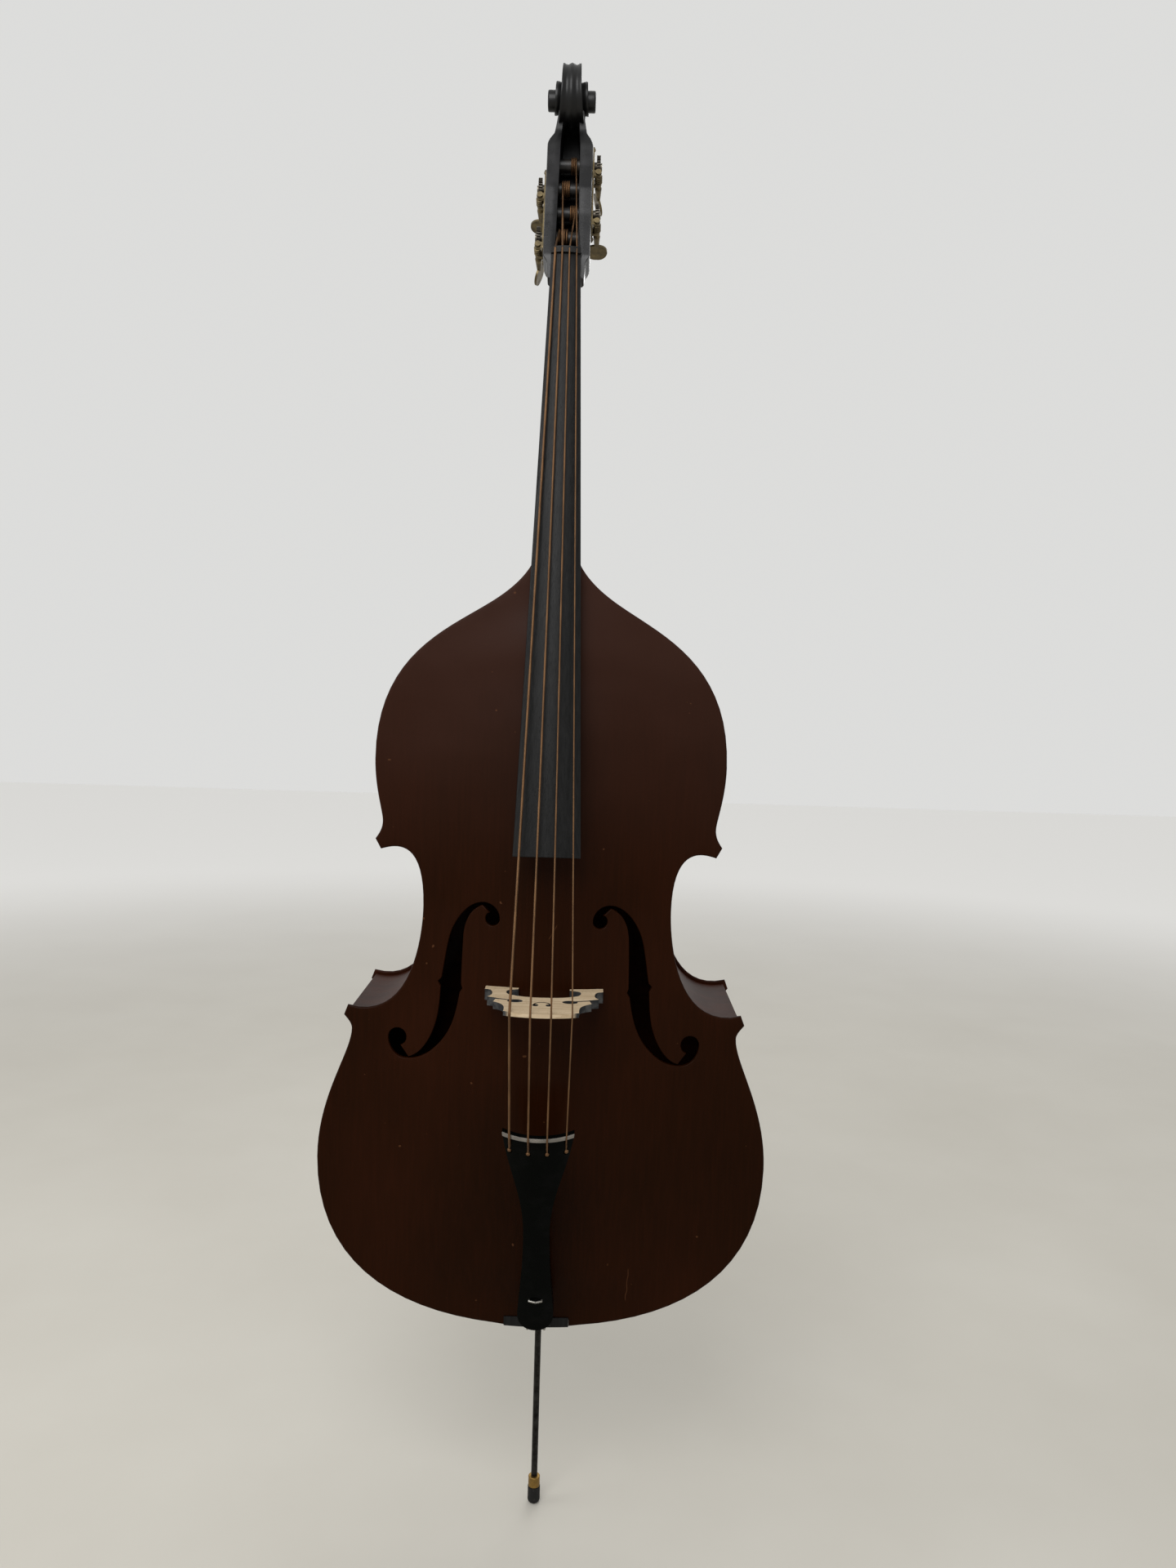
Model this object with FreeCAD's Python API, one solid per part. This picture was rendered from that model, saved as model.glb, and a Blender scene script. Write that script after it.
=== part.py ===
"""A four-string double bass, standing upright on its endpin.

Frame: millimetres.  The origin is the centre of the endpin's rubber foot on the
floor.  +Z runs up the endpin and the body, -Y is the front (the soundboard), and
+X is the right-hand side seen from the front, so the thickest string is at -X.
Every physical piece is one STEP file in parts/.
"""
import FreeCAD, Part
import math
import os

Vector = FreeCAD.Vector

# ---------------------------------------------------------------- driving sizes
ENDPIN_OUT = 355.0          # floor to the lowest edge of the body
RIB_DEPTH = 208.0           # between the glued faces of the two plates
PLATE_EDGE = 7.0            # plate thickness at its rim
PLATE_CENTRE = 8.5          # plate thickness under the bridge
TOP_ARCH = 28.0             # rise of the soundboard above its rim
BACK_ARCH = 17.0            # rise of the back above its rim
EDGE_OVERHANG = 5.0         # how far the plates stand past the ribs
RIB_THICKNESS = 2.5
LINING_THICKNESS = 9.0
LINING_HEIGHT = 22.0
GLUE_GAP = 0.3              # between curved faces of two glued pieces

# Right half of the body outline, from the bottom centre to the neck, as
# (x, height above the body's lowest edge, heading in degrees, reach in, reach out).
# The reaches are the lengths of the curve's handles before and after the point.
LOWER_BOUT = (
    (0.0, 0.0, 0.0, 0.0, 195.0),
    (328.8, 250.0, 90.0, 172.0, 92.0),
    (280.3, 443.6, 90.0, 36.0, 8.0),
    (291.8, 464.0, 52.0, 8.0, 0.0),
)
MIDDLE_BOUT = (
    (286.3, 478.5, 194.4, 0.0, 99.0),
    (179.2, 628.0, 90.0, 38.0, 103.0),
    (241.7, 708.6, -15.0, 17.0, 0.0),
)
UPPER_BOUT = (
    (249.8, 723.5, 126.0, 0.0, 9.0),
    (239.7, 749.3, 90.0, 11.0, 13.5),
    (251.8, 839.0, 90.0, 43.8, 150.0),
    (88.5, 1067.2, 146.5, 75.0, 24.0),
    (34.0, 1121.0, 118.0, 26.0, 0.0),
)
BODY_LENGTH = UPPER_BOUT[-1][1]
CURVE_STEPS = 14            # points laid along each stretch of a curve

# Height of the arching's foot: (height, half width, share of the full rise).
ARCH_STATIONS = (
    (-25.0, 60.0, 0.0),
    (20.0, 170.0, 0.02),
    (110.0, 285.0, 0.45),
    (250.0, 318.0, 0.86),
    (390.0, 285.0, 0.98),
    (500.0, 215.0, 1.0),
    (628.0, 176.0, 1.0),
    (720.0, 205.0, 0.97),
    (850.0, 240.0, 0.82),
    (980.0, 200.0, 0.48),
    (1090.0, 110.0, 0.08),
    (1150.0, 60.0, 0.0),
)

# Sound holes, right one: the rim from the upper eye over and down to the lower
# wing, then the other rim from the lower eye back up to the upper wing.
UPPER_EYE = (77.0, 615.0, 10.5)
LOWER_EYE = (213.0, 434.0, 13.5)
HOLE_OUTER_RIM = (
    (66.6, 615.0, 90.0, 0.0, 14.0),
    (90.0, 638.0, 0.0, 11.0, 24.0),
    (140.0, 583.0, -77.0, 26.0, 16.0),
    (150.0, 524.0, -80.0, 18.0, 0.0),
)
HOLE_NOTCH_OUTER = (155.0, 519.0)
HOLE_OUTER_FOOT = (
    (151.0, 512.0, -88.0, 0.0, 18.0),
    (158.0, 455.0, -73.0, 18.0, 20.0),
    (196.0, 406.0, -14.0, 20.0, 0.0),
)
LOWER_WING = (208.0, 422.0)
HOLE_INNER_RIM = (
    (226.5, 434.0, -90.0, 0.0, 16.0),
    (200.0, 403.5, 180.0, 15.0, 22.0),
    (150.0, 430.0, 131.0, 22.0, 26.0),
    (123.0, 504.0, 98.0, 28.0, 0.0),
)
HOLE_NOTCH_INNER = (118.8, 510.5)
HOLE_INNER_TOP = (
    (121.0, 517.0, 90.5, 0.0, 24.0),
    (119.5, 585.0, 92.0, 22.0, 20.0),
    (92.0, 633.5, 158.0, 22.0, 0.0),
)
UPPER_WING = (81.5, 623.5)

# Blocks, bar and post inside the body.
BLOCK_WIDTH = 140.0
NECK_BLOCK_LENGTH = 55.0
END_BLOCK_LENGTH = 38.0
CORNER_BLOCK_REACH = 62.0
CORNER_BEARING = 32.0       # degrees: the way the lower corners point
UPPER_CORNER_BEARING = -27.0
BAR_LENGTH = 760.0
BAR_WIDTH = 24.0
BAR_HEIGHT = 34.0
POST_RADIUS = 9.0
POST_BELOW_BRIDGE = 30.0

# Neck, fingerboard and strings.
STOP = 510.0                # body's lowest edge to the bridge
SCALE_LENGTH = 1069.0       # bridge to nut along the strings
BRIDGE_HEIGHT = 114.0       # over the crest of the arch
CROWN_RADIUS = 124.0
STRING_ANGLE = 10.32        # strings' lean back from the body's axis, degrees
BOARD_LENGTH = 860.0
BOARD_NUT_WIDTH = 42.0
BOARD_END_WIDTH = 93.7
BOARD_EDGE = 13.0
BOARD_NUT_RADIUS = 62.0
BOARD_END_RADIUS = 86.0
BOARD_ANGLE = 9.12          # fingerboard's and neck's lean back, degrees
NUT_THICKNESS = 9.0
NUT_RISE = 2.6              # string centres over the fingerboard
HEEL_WIDTH = 60.0
TENON_LENGTH = 30.0
NECK_NUT_DEPTH = 27.0
NECK_HEEL_DEPTH = 35.0
BUTTON_HEIGHT = 22.0
STRING_RADII = {"e": 1.8, "a": 1.5, "d": 1.25, "g": 1.05}
STRING_SEAT = 0.2           # between a string and what it rests on
BEND_SPARE = 0.04           # a string's bends are this much thicker
STRINGS_AT_BRIDGE = {"e": -42.2, "a": -14.0, "d": 14.0, "g": 42.2}
STRINGS_AT_NUT = {"e": -15.3, "a": -5.1, "d": 5.1, "g": 15.3}

# Pegbox and scroll, in a frame that leans back from the nut.
HEAD_ANGLE = 17.0
CHEEK_OUTSIDE = 34.0        # half width of the pegbox
CHEEK_INSIDE = 17.0
PEGBOX_START = 9.0
PEGBOX_END = 190.0
PEGBOX_FLOOR = 40.0
SCROLL_CENTRE = (-1.0, 264.0)
SCROLL_RADIUS = 63.0
SCROLL_HALF_WIDTHS = (14.0, 23.0, 36.5)
SHOULDER_LENGTH = 28.0

# Tuning machines: a worm on each key drives the wheel on each peg.
PEG_PLACES = {"e": 50.0, "d": 91.0, "a": 132.0, "g": 173.0}
LEFT_PEGS = ("e", "a")
PEG_DEPTH = 24.0
ROLLER_RADIUS = 10.0
SPINDLE_RADIUS = 4.0
RUNNING_FIT = 0.05
PLATE_THICKNESS = 2.0
TUNER_PLATE_WIDTH = 40.0
TEETH = 24
MODULE = 1.25
WHEEL_THICKNESS = 5.6
WORM_PITCH_RADIUS = 4.6
WORM_LENGTH = 15.0
TOOTH_CLEARANCE = 0.34      # play on each flank of the teeth
WORM_SHAFT_RADIUS = 3.0
LUG_THICKNESS = 5.0
LUG_RADIUS = 4.8
KEY_STEM = 32.0
KEY_EAR_LENGTH = 34.0
KEY_EAR_WIDTH = 26.0
KEY_EAR_THICKNESS = 3.2
SCREW_HEAD_RADIUS = 4.2
WINDING_STARTS = {"e": -12.0, "a": -9.5, "d": -11.0, "g": -9.0}
WINDING_TURNS = 4

# Tailpiece and tail wire.
TAILPIECE_LENGTH = 332.0
TAILPIECE_TOP_WIDTH = 99.0
TAILPIECE_WAIST_WIDTH = 37.0
TAILPIECE_FOOT_WIDTH = 52.0
TAILPIECE_THICKNESS = 17.0
TAILPIECE_ANGLE = 15.2
TAILPIECE_FOOT = (-137.0, 22.0)     # y, height above the body's lowest edge
HOLES_BELOW_FRET = 27.0
TAIL_RADIUS = 92.0
FRET_RISE = 3.0
FRET_WIDTH = 4.0
FRET_INSET = 1.0
STRING_HOLE_RADIUS = 3.9
TAIL_END_LENGTH = 62.0      # the upper end thins over this length
TAIL_END_DEEP = 23.0
TAIL_END_THIN = 6.0
BOW_HEIGHT = 55.0           # the wire's bow, above the tailpiece's foot
WIRE_RADIUS = 1.5
WIRE_DROP = WIRE_RADIUS + 0.7    # the wire runs this far below the body
SADDLE_WIDTH = 96.0
SADDLE_HEIGHT = 15.0
SADDLE_LIFT = 3.0
SADDLE_HUMP = 6.5

# Endpin.
ROD_RADIUS = 5.0
ROD_INSIDE = 75.0           # stays inside the body when fully drawn out
ENDPIN_TRAVEL = 280.0
COLLAR_RADIUS = 20.0
COLLAR_HEIGHT = 34.0
PLUG_RADIUS = 15.0
FERRULE_RADIUS = 9.2
FERRULE_HEIGHT = 17.0
TIP_RADIUS = 9.8
TIP_HEIGHT = 27.0
SCREW_RADIUS = 3.0
WING_RADIUS = 11.0

# ---------------------------------------------------------------- derived sizes
BASE = ENDPIN_OUT
HALF_DEPTH = RIB_DEPTH / 2.0
RIM = HALF_DEPTH + PLATE_EDGE
RIB_INSIDE = EDGE_OVERHANG + RIB_THICKNESS
LINING_OUTSIDE = RIB_INSIDE + GLUE_GAP
BRIDGE_Z = BASE + STOP
ARCH_CREST = -(RIM + TOP_ARCH)
CROWN_Y = ARCH_CREST - BRIDGE_HEIGHT
NUT_Z = BRIDGE_Z + SCALE_LENGTH * math.cos(math.radians(STRING_ANGLE))
NUT_STRING_Y = CROWN_Y + SCALE_LENGTH * math.sin(math.radians(STRING_ANGLE))


def rise(half_chord, radius):
    """Height of an arc over its chord."""
    return radius - math.sqrt(radius * radius - half_chord * half_chord)


BOARD_NUT_HEIGHT = BOARD_EDGE + rise(BOARD_NUT_WIDTH / 2.0, BOARD_NUT_RADIUS)
GLUE_LINE_Y = NUT_STRING_Y + BOARD_NUT_HEIGHT + NUT_RISE
PITCH_RADIUS = TEETH * MODULE / 2.0
WHEEL_RADIUS = PITCH_RADIUS + MODULE
WHEEL_ROOT = PITCH_RADIUS - 1.25 * MODULE
WORM_RADIUS = WORM_PITCH_RADIUS + MODULE
WORM_ROOT = WORM_PITCH_RADIUS - 1.25 * MODULE
WORM_LEAD = math.pi * MODULE
LEAD_ANGLE = math.degrees(math.atan(WORM_LEAD / (2.0 * math.pi * WORM_PITCH_RADIUS)))
MESH_DISTANCE = PITCH_RADIUS + WORM_PITCH_RADIUS
WHEEL_X = CHEEK_OUTSIDE + PLATE_THICKNESS + WORM_RADIUS + 0.6
SHAFT_FACE = PEG_DEPTH - WORM_LENGTH / 2.0


# ---------------------------------------------------------------- helpers
def curve_points(nodes):
    """Points and headings along smooth stretches through the given nodes."""
    points = []
    for first, last in zip(nodes, nodes[1:]):
        start, finish = math.radians(first[2]), math.radians(last[2])
        ax, az = first[0], first[1]
        bx, bz = ax + first[4] * math.cos(start), az + first[4] * math.sin(start)
        dx, dz = last[0], last[1]
        cx, cz = dx - last[3] * math.cos(finish), dz - last[3] * math.sin(finish)
        for step in range(CURVE_STEPS + 1):
            if step == 0 and points:
                continue
            t = step / CURVE_STEPS
            u = 1.0 - t
            x = u**3 * ax + 3 * u * u * t * bx + 3 * u * t * t * cx + t**3 * dx
            z = u**3 * az + 3 * u * u * t * bz + 3 * u * t * t * cz + t**3 * dz
            sx = u * u * (bx - ax) + 2 * u * t * (cx - bx) + t * t * (dx - cx)
            sz = u * u * (bz - az) + 2 * u * t * (cz - bz) + t * t * (dz - cz)
            points.append((x, z, math.atan2(sz, sx)))
    return points


def set_in(points, inset, prolong=20.0):
    """The run moved inwards (to its left) and prolonged straight at both ends."""
    moved = []
    for x, z, heading in points:
        moved.append((x - inset * math.sin(heading), z + inset * math.cos(heading)))
    first, last = points[0][2], points[-1][2]
    before = (moved[0][0] - prolong * math.cos(first), moved[0][1] - prolong * math.sin(first))
    after = (moved[-1][0] + prolong * math.cos(last), moved[-1][1] + prolong * math.sin(last))
    return [before] + moved + [after]


def straight(start, finish):
    """A run with two points, headed from start to finish."""
    heading = math.atan2(finish[1] - start[1], finish[0] - start[0])
    return [(start[0], start[1], heading), (finish[0], finish[1], heading)]


def crossing(first, second):
    """Where the end of one run meets the start of the next."""
    for i in range(len(first) - 2, -1, -1):
        ax, az = first[i]
        bx, bz = first[i + 1]
        for j in range(len(second) - 1):
            cx, cz = second[j]
            dx, dz = second[j + 1]
            turn = (bx - ax) * (dz - cz) - (bz - az) * (dx - cx)
            if abs(turn) < 1e-9:
                continue
            s = ((cx - ax) * (dz - cz) - (cz - az) * (dx - cx)) / turn
            t = ((cx - ax) * (bz - az) - (cz - az) * (bx - ax)) / turn
            if -1e-9 <= s <= 1 + 1e-9 and -1e-9 <= t <= 1 + 1e-9:
                return i + s, j + t, (ax + s * (bx - ax), az + s * (bz - az))
    return None


def outline_runs(inset):
    """The right half of the outline, set in, as lists of points that meet."""
    lower, middle, upper = (curve_points(n) for n in (LOWER_BOUT, MIDDLE_BOUT, UPPER_BOUT))
    top = straight(upper[-1][:2], (0.0, upper[-1][1]))
    runs = [lower, straight(lower[-1][:2], middle[0][:2]), middle,
            straight(middle[-1][:2], upper[0][:2]), upper, top]
    moved = [set_in(run, inset) for run in runs]
    for tip in (3, 1):
        before = crossing(moved[tip - 1], moved[tip])
        after = crossing(moved[tip], moved[tip + 1])
        if before is None or after is None or before[1] >= after[0]:
            del moved[tip]
    starts = [1.0]
    ends = []
    meets = [moved[0][1]]
    for first, second in zip(moved, moved[1:]):
        at_first, at_second, place = crossing(first, second)
        ends.append(at_first)
        starts.append(at_second)
        meets.append(place)
    ends.append(len(moved[-1]) - 2.0)
    meets.append((0.0, moved[-1][-2][1]))
    trimmed = []
    for index, run in enumerate(moved):
        inner = [p for i, p in enumerate(run) if starts[index] + 0.02 < i < ends[index] - 0.02]
        trimmed.append([meets[index]] + inner + [meets[index + 1]])
    return trimmed


def run_edge(points):
    """One edge through a run's points, in the plane y = 0."""
    vectors = [Vector(x, 0, z) for x, z in points]
    if len(vectors) == 2:
        return Part.makeLine(vectors[0], vectors[1])
    spline = Part.BSplineCurve()
    spline.interpolate(vectors)
    return spline.toShape()


def closed_face(runs):
    """A flat face bounded by runs of points that follow one another."""
    return Part.Face(Part.Wire([run_edge(run) for run in runs]))


def outline_prism(inset, front, back):
    """The body outline, set in, between two depths."""
    right = outline_runs(inset)
    left = [[(-x, z) for x, z in reversed(run)] for run in reversed(right)]
    face = closed_face(right + left)
    face.translate(Vector(0, front, BASE))
    return face.extrude(Vector(0, back - front, 0))


def polygon_prism(points, front, back):
    """A straight-sided prism over points (x, z) of the body."""
    ring = [Vector(x, front, BASE + z) for x, z in points]
    wire = Part.makePolygon(ring + ring[:1])
    return Part.Face(wire).extrude(Vector(0, back - front, 0))


def box(x0, x1, y0, y1, z0, z1):
    """A box between two corners."""
    return Part.makeBox(x1 - x0, y1 - y0, z1 - z0, Vector(x0, y0, z0))


def rod(start, finish, radius):
    """A round bar between two points."""
    start, finish = Vector(*start), Vector(*finish)
    return Part.makeCylinder(radius, (finish - start).Length, start, finish - start)


def fuse(shapes):
    """All the shapes as one solid."""
    joined = shapes[0]
    if len(shapes) > 1:
        joined = shapes[0].multiFuse(shapes[1:])
    return joined.removeSplitter()


def mirrored(shape):
    """The shape on the other side of the bass's middle plane."""
    return shape.mirror(Vector(0, 0, 0), Vector(1, 0, 0))


def both_sides(shape):
    """The shape together with its mirror image."""
    return [shape, mirrored(shape)]


def tilted(shape, y, z, angle):
    """Leans a piece built at the origin back by an angle and moves it to (y, z)."""
    turned = shape.copy()
    turned.rotate(Vector(0, 0, 0), Vector(1, 0, 0), -angle)
    turned.translate(Vector(0, y, z))
    return turned


PIECES = {}


def keep(name, shape):
    """Remembers a finished piece under its name."""
    PIECES[name] = shape


# ---------------------------------------------------------------- arching
def station(height):
    """Half width and share of the rise of the arching at one height."""
    for low, high in zip(ARCH_STATIONS, ARCH_STATIONS[1:]):
        if height <= high[0]:
            t = min(1.0, max(0.0, (height - low[0]) / (high[0] - low[0])))
            ease = t * t * (3.0 - 2.0 * t)
            return low[1] + t * (high[1] - low[1]), low[2] + ease * (high[2] - low[2])
    return ARCH_STATIONS[-1][1:]


def arch(x, height, crest):
    """Rise of the arching over the rim at one place."""
    half_width, share = station(height)
    if abs(x) >= half_width:
        return 0.0
    return crest * share * 0.5 * (1.0 + math.cos(math.pi * x / half_width))


def arch_surface(side, rim, crest):
    """The arched face: side is -1 for the front and +1 for the back."""
    grid = []
    for i in range(45):
        x = -352.0 + 16.0 * i
        column = []
        for j in range(50):
            z = -25.0 + 24.0 * j
            column.append(Vector(x, side * (rim + arch(x, z, crest)), BASE + z))
        grid.append(column)
    surface = Part.BSplineSurface()
    surface.interpolate(grid)
    return surface.toShape()


def plate(side, crest):
    """One arched plate: the outline under the arch, hollowed on its inner face."""
    reach = side * 60.0
    slab = outline_prism(0.0, side * HALF_DEPTH, side * (HALF_DEPTH + 60.0))
    outer = arch_surface(side, RIM, crest).extrude(Vector(0, -reach - side * 30.0, 0))
    inner = arch_surface(side, HALF_DEPTH + 1.0, crest + PLATE_EDGE - PLATE_CENTRE - 1.0)
    cavity = inner.extrude(Vector(0, -reach, 0))
    hollow = cavity.common(outline_prism(LINING_OUTSIDE + LINING_THICKNESS + 2.0,
                                         side * (HALF_DEPTH - 20.0), side * (HALF_DEPTH + 60.0)))
    return slab.common(outer).cut(hollow), hollow


def sound_hole():
    """The right-hand sound hole as a prism through the front plate."""
    rims = [[p[:2] for p in curve_points(nodes)] for nodes in
            (HOLE_OUTER_RIM, HOLE_OUTER_FOOT, HOLE_INNER_RIM, HOLE_INNER_TOP)]
    eyes = (UPPER_EYE, LOWER_EYE)
    runs = [rims[0], [rims[0][-1], HOLE_NOTCH_OUTER], [HOLE_NOTCH_OUTER, rims[1][0]], rims[1],
            [rims[1][-1], LOWER_WING], [LOWER_WING, eyes[1][:2]], [eyes[1][:2], rims[2][0]],
            rims[2], [rims[2][-1], HOLE_NOTCH_INNER], [HOLE_NOTCH_INNER, rims[3][0]], rims[3],
            [rims[3][-1], UPPER_WING], [UPPER_WING, eyes[0][:2]], [eyes[0][:2], rims[0][0]]]
    face = closed_face(runs)
    face.translate(Vector(0, -RIM - 60.0, BASE))
    shapes = [face.extrude(Vector(0, 90.0, 0))]
    for x, z, radius in eyes:
        shapes.append(rod((x, -RIM - 60.0, BASE + z), (x, -RIM + 30.0, BASE + z), radius))
    return fuse(shapes)


# ---------------------------------------------------------------- body
def corner(x, z, bearing, reach):
    """A point at some reach from a corner along its bearing."""
    angle = math.radians(bearing)
    return (x + reach * math.cos(angle), z + reach * math.sin(angle))


LOWER_CORNER = (0.5 * (LOWER_BOUT[-1][0] + MIDDLE_BOUT[0][0]),
                0.5 * (LOWER_BOUT[-1][1] + MIDDLE_BOUT[0][1]))
UPPER_CORNER = (0.5 * (MIDDLE_BOUT[-1][0] + UPPER_BOUT[0][0]),
                0.5 * (MIDDLE_BOUT[-1][1] + UPPER_BOUT[0][1]))


def middle_region():
    """The stretch of the right side that lies between its two corners."""
    return [corner(*LOWER_CORNER, CORNER_BEARING, 40.0),
            corner(*LOWER_CORNER, CORNER_BEARING, -170.0),
            corner(*UPPER_CORNER, UPPER_CORNER_BEARING, -120.0),
            corner(*UPPER_CORNER, UPPER_CORNER_BEARING, 40.0)]


def make_ribs(tenon):
    """Six bent ribs that meet in mitres at the corners, the tenon and the endpin."""
    ring = outline_prism(EDGE_OVERHANG, -HALF_DEPTH, HALF_DEPTH)
    ring = ring.cut(outline_prism(RIB_INSIDE, -HALF_DEPTH, HALF_DEPTH))
    region = middle_region()
    middle = polygon_prism(region, -HALF_DEPTH, HALF_DEPTH)
    below = [region[0], region[1], (0.0, region[1][1]), (0.0, -20.0), (400.0, -20.0)]
    above = [region[3], region[2], (0.0, region[2][1]), (0.0, 1200.0), (400.0, 1200.0)]
    lower = polygon_prism(below, -HALF_DEPTH, HALF_DEPTH)
    upper = polygon_prism(above, -HALF_DEPTH, HALF_DEPTH)
    plug = rod((0, 0, BASE - 10.0), (0, 0, BASE + 30.0), PLUG_RADIUS)
    for name, region_solid in (("upper", upper), ("middle", middle), ("lower", lower)):
        right = ring.common(region_solid).cut(tenon).cut(plug)
        keep("rib_%s_right" % name, right)
        keep("rib_%s_left" % name, mirrored(right))


def make_blocks(tenon):
    """Neck block, end block and the four corner blocks."""
    inside = outline_prism(LINING_OUTSIDE, -HALF_DEPTH, HALF_DEPTH)
    half = BLOCK_WIDTH / 2.0
    top = BODY_LENGTH - LINING_OUTSIDE
    neck_area = [(-half, top - NECK_BLOCK_LENGTH), (half, top - NECK_BLOCK_LENGTH),
                 (half, top + 20.0), (-half, top + 20.0)]
    end_area = [(-half, -20.0), (half, -20.0), (half, LINING_OUTSIDE + END_BLOCK_LENGTH),
                (-half, LINING_OUTSIDE + END_BLOCK_LENGTH)]
    areas = []
    for place, bearing in ((LOWER_CORNER, CORNER_BEARING), (UPPER_CORNER, UPPER_CORNER_BEARING)):
        far = corner(*place, bearing, -CORNER_BLOCK_REACH)
        side = corner(0.0, 0.0, bearing + 90.0, CORNER_BLOCK_REACH)
        near = corner(*place, bearing, 20.0)
        areas.append([(far[0] + side[0], far[1] + side[1]), (far[0] - side[0], far[1] - side[1]),
                      (near[0] - side[0], near[1] - side[1]), (near[0] + side[0], near[1] + side[1])])
    plug = rod((0, 0, BASE - 10.0), (0, 0, BASE + 100.0), PLUG_RADIUS)
    neck_zone = polygon_prism(neck_area, -HALF_DEPTH, HALF_DEPTH)
    end_zone = polygon_prism(end_area, -HALF_DEPTH, HALF_DEPTH)
    keep("neck_block", inside.common(neck_zone).cut(tenon))
    keep("end_block", inside.common(end_zone).cut(plug))
    zones = []
    for area in areas:
        zones += both_sides(polygon_prism(area, -HALF_DEPTH, HALF_DEPTH))
    keep("corner_blocks", Part.makeCompound([inside.common(zone) for zone in zones]))
    return zones + [neck_zone, end_zone]


def make_linings(zones):
    """Strips that widen the ribs' glued edges, front and back, between the blocks."""
    for name, side in (("linings_front", -1.0), ("linings_back", 1.0)):
        low, high = sorted((side * HALF_DEPTH, side * (HALF_DEPTH - LINING_HEIGHT)))
        ring = outline_prism(LINING_OUTSIDE, low, high)
        ring = ring.cut(outline_prism(LINING_OUTSIDE + LINING_THICKNESS, low, high))
        keep(name, Part.makeCompound(ring.cut(fuse(zones)).Solids))


def make_body():
    """Plates, ribs, blocks, linings, bass bar and sound post."""
    half = HEEL_WIDTH / 2.0
    floor = BASE + BODY_LENGTH - TENON_LENGTH
    tenon = box(-half, half, -RIM - 30.0, HALF_DEPTH, floor, floor + 100.0)
    top, top_hollow = plate(-1.0, TOP_ARCH)
    hole = sound_hole()
    saddle_slot = saddle_shape(TOP_ARCH)
    top = top.cut(Part.makeCompound(both_sides(hole))).cut(tenon).cut(saddle_slot)
    keep("top_plate", top)
    back, back_hollow = plate(1.0, BACK_ARCH)
    button = rod((0, HALF_DEPTH, BASE + BODY_LENGTH - 4.0), (0, RIM, BASE + BODY_LENGTH - 4.0), 27.0)
    keep("back_plate", back.fuse(button).removeSplitter())
    make_ribs(tenon)
    make_linings(make_blocks(tenon))
    bar_x = STRINGS_AT_BRIDGE["e"]
    bar = box(bar_x - BAR_WIDTH / 2.0, bar_x + BAR_WIDTH / 2.0, -RIM - TOP_ARCH, -HALF_DEPTH + BAR_HEIGHT,
              BRIDGE_Z - BAR_LENGTH / 2.0, BRIDGE_Z + BAR_LENGTH / 2.0)
    bar_radius = (BAR_LENGTH * BAR_LENGTH / 4.0 + BAR_HEIGHT * BAR_HEIGHT) / (2.0 * BAR_HEIGHT)
    ends = Part.makeCylinder(bar_radius, 60.0, Vector(bar_x - 30.0, -HALF_DEPTH + BAR_HEIGHT - bar_radius,
                             BRIDGE_Z), Vector(1, 0, 0))
    under_top = top_hollow.copy()
    under_top.translate(Vector(0, GLUE_GAP, 0))
    wide_hollow = under_top.fuse(box(-300, 300, -HALF_DEPTH + 19.0, HALF_DEPTH, BASE + 60.0, BASE + 1050.0))
    keep("bass_bar", bar.common(wide_hollow).common(ends))
    post = rod((-bar_x, -RIM - TOP_ARCH, BRIDGE_Z - POST_BELOW_BRIDGE),
               (-bar_x, RIM + BACK_ARCH, BRIDGE_Z - POST_BELOW_BRIDGE), POST_RADIUS)
    over_back = back_hollow.copy()
    over_back.translate(Vector(0, -GLUE_GAP, 0))
    inside = wide_hollow.fuse(over_back).fuse(box(-300, 300, -60.0, 90.0, BASE + 60.0, BASE + 1050.0))
    keep("sound_post", post.common(inside))


def saddle_shape(lift):
    """The strip let into the front plate's lower edge, standing over it by the lift."""
    half = SADDLE_WIDTH / 2.0
    return box(-half, half, -RIM - lift, -HALF_DEPTH, BASE - 6.0, BASE + SADDLE_HEIGHT)


def make_saddle():
    """The saddle, rounded over the plate's edge, with low wings at its sides."""
    strip = saddle_shape(SADDLE_LIFT).common(outline_prism(0.0, -RIM - 20.0, -HALF_DEPTH))
    hump = rod((-22.0, -RIM + 1.0, BASE + 8.0), (22.0, -RIM + 1.0, BASE + 8.0), SADDLE_HUMP)
    bridge_over = box(-22.0, 22.0, -RIM - 10.0, -RIM + 1.0, BASE + 1.0, BASE + SADDLE_HEIGHT)
    keep("saddle", fuse([strip, hump.common(bridge_over)]))


# ---------------------------------------------------------------- neck side
def board_section(z, width, radius):
    """Outline of the fingerboard across its length: flat back, round front."""
    half = width / 2.0
    top = BOARD_EDGE + rise(half, radius)
    points = [Vector(-half, 0, z), Vector(-half, -BOARD_EDGE, z), Vector(half, -BOARD_EDGE, z),
              Vector(half, 0, z)]
    arc = Part.Arc(points[1], Vector(0, -top, z), points[2]).toShape()
    return Part.Wire([Part.makeLine(points[0], points[1]), arc,
                      Part.makeLine(points[2], points[3]), Part.makeLine(points[3], points[0])])


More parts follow.
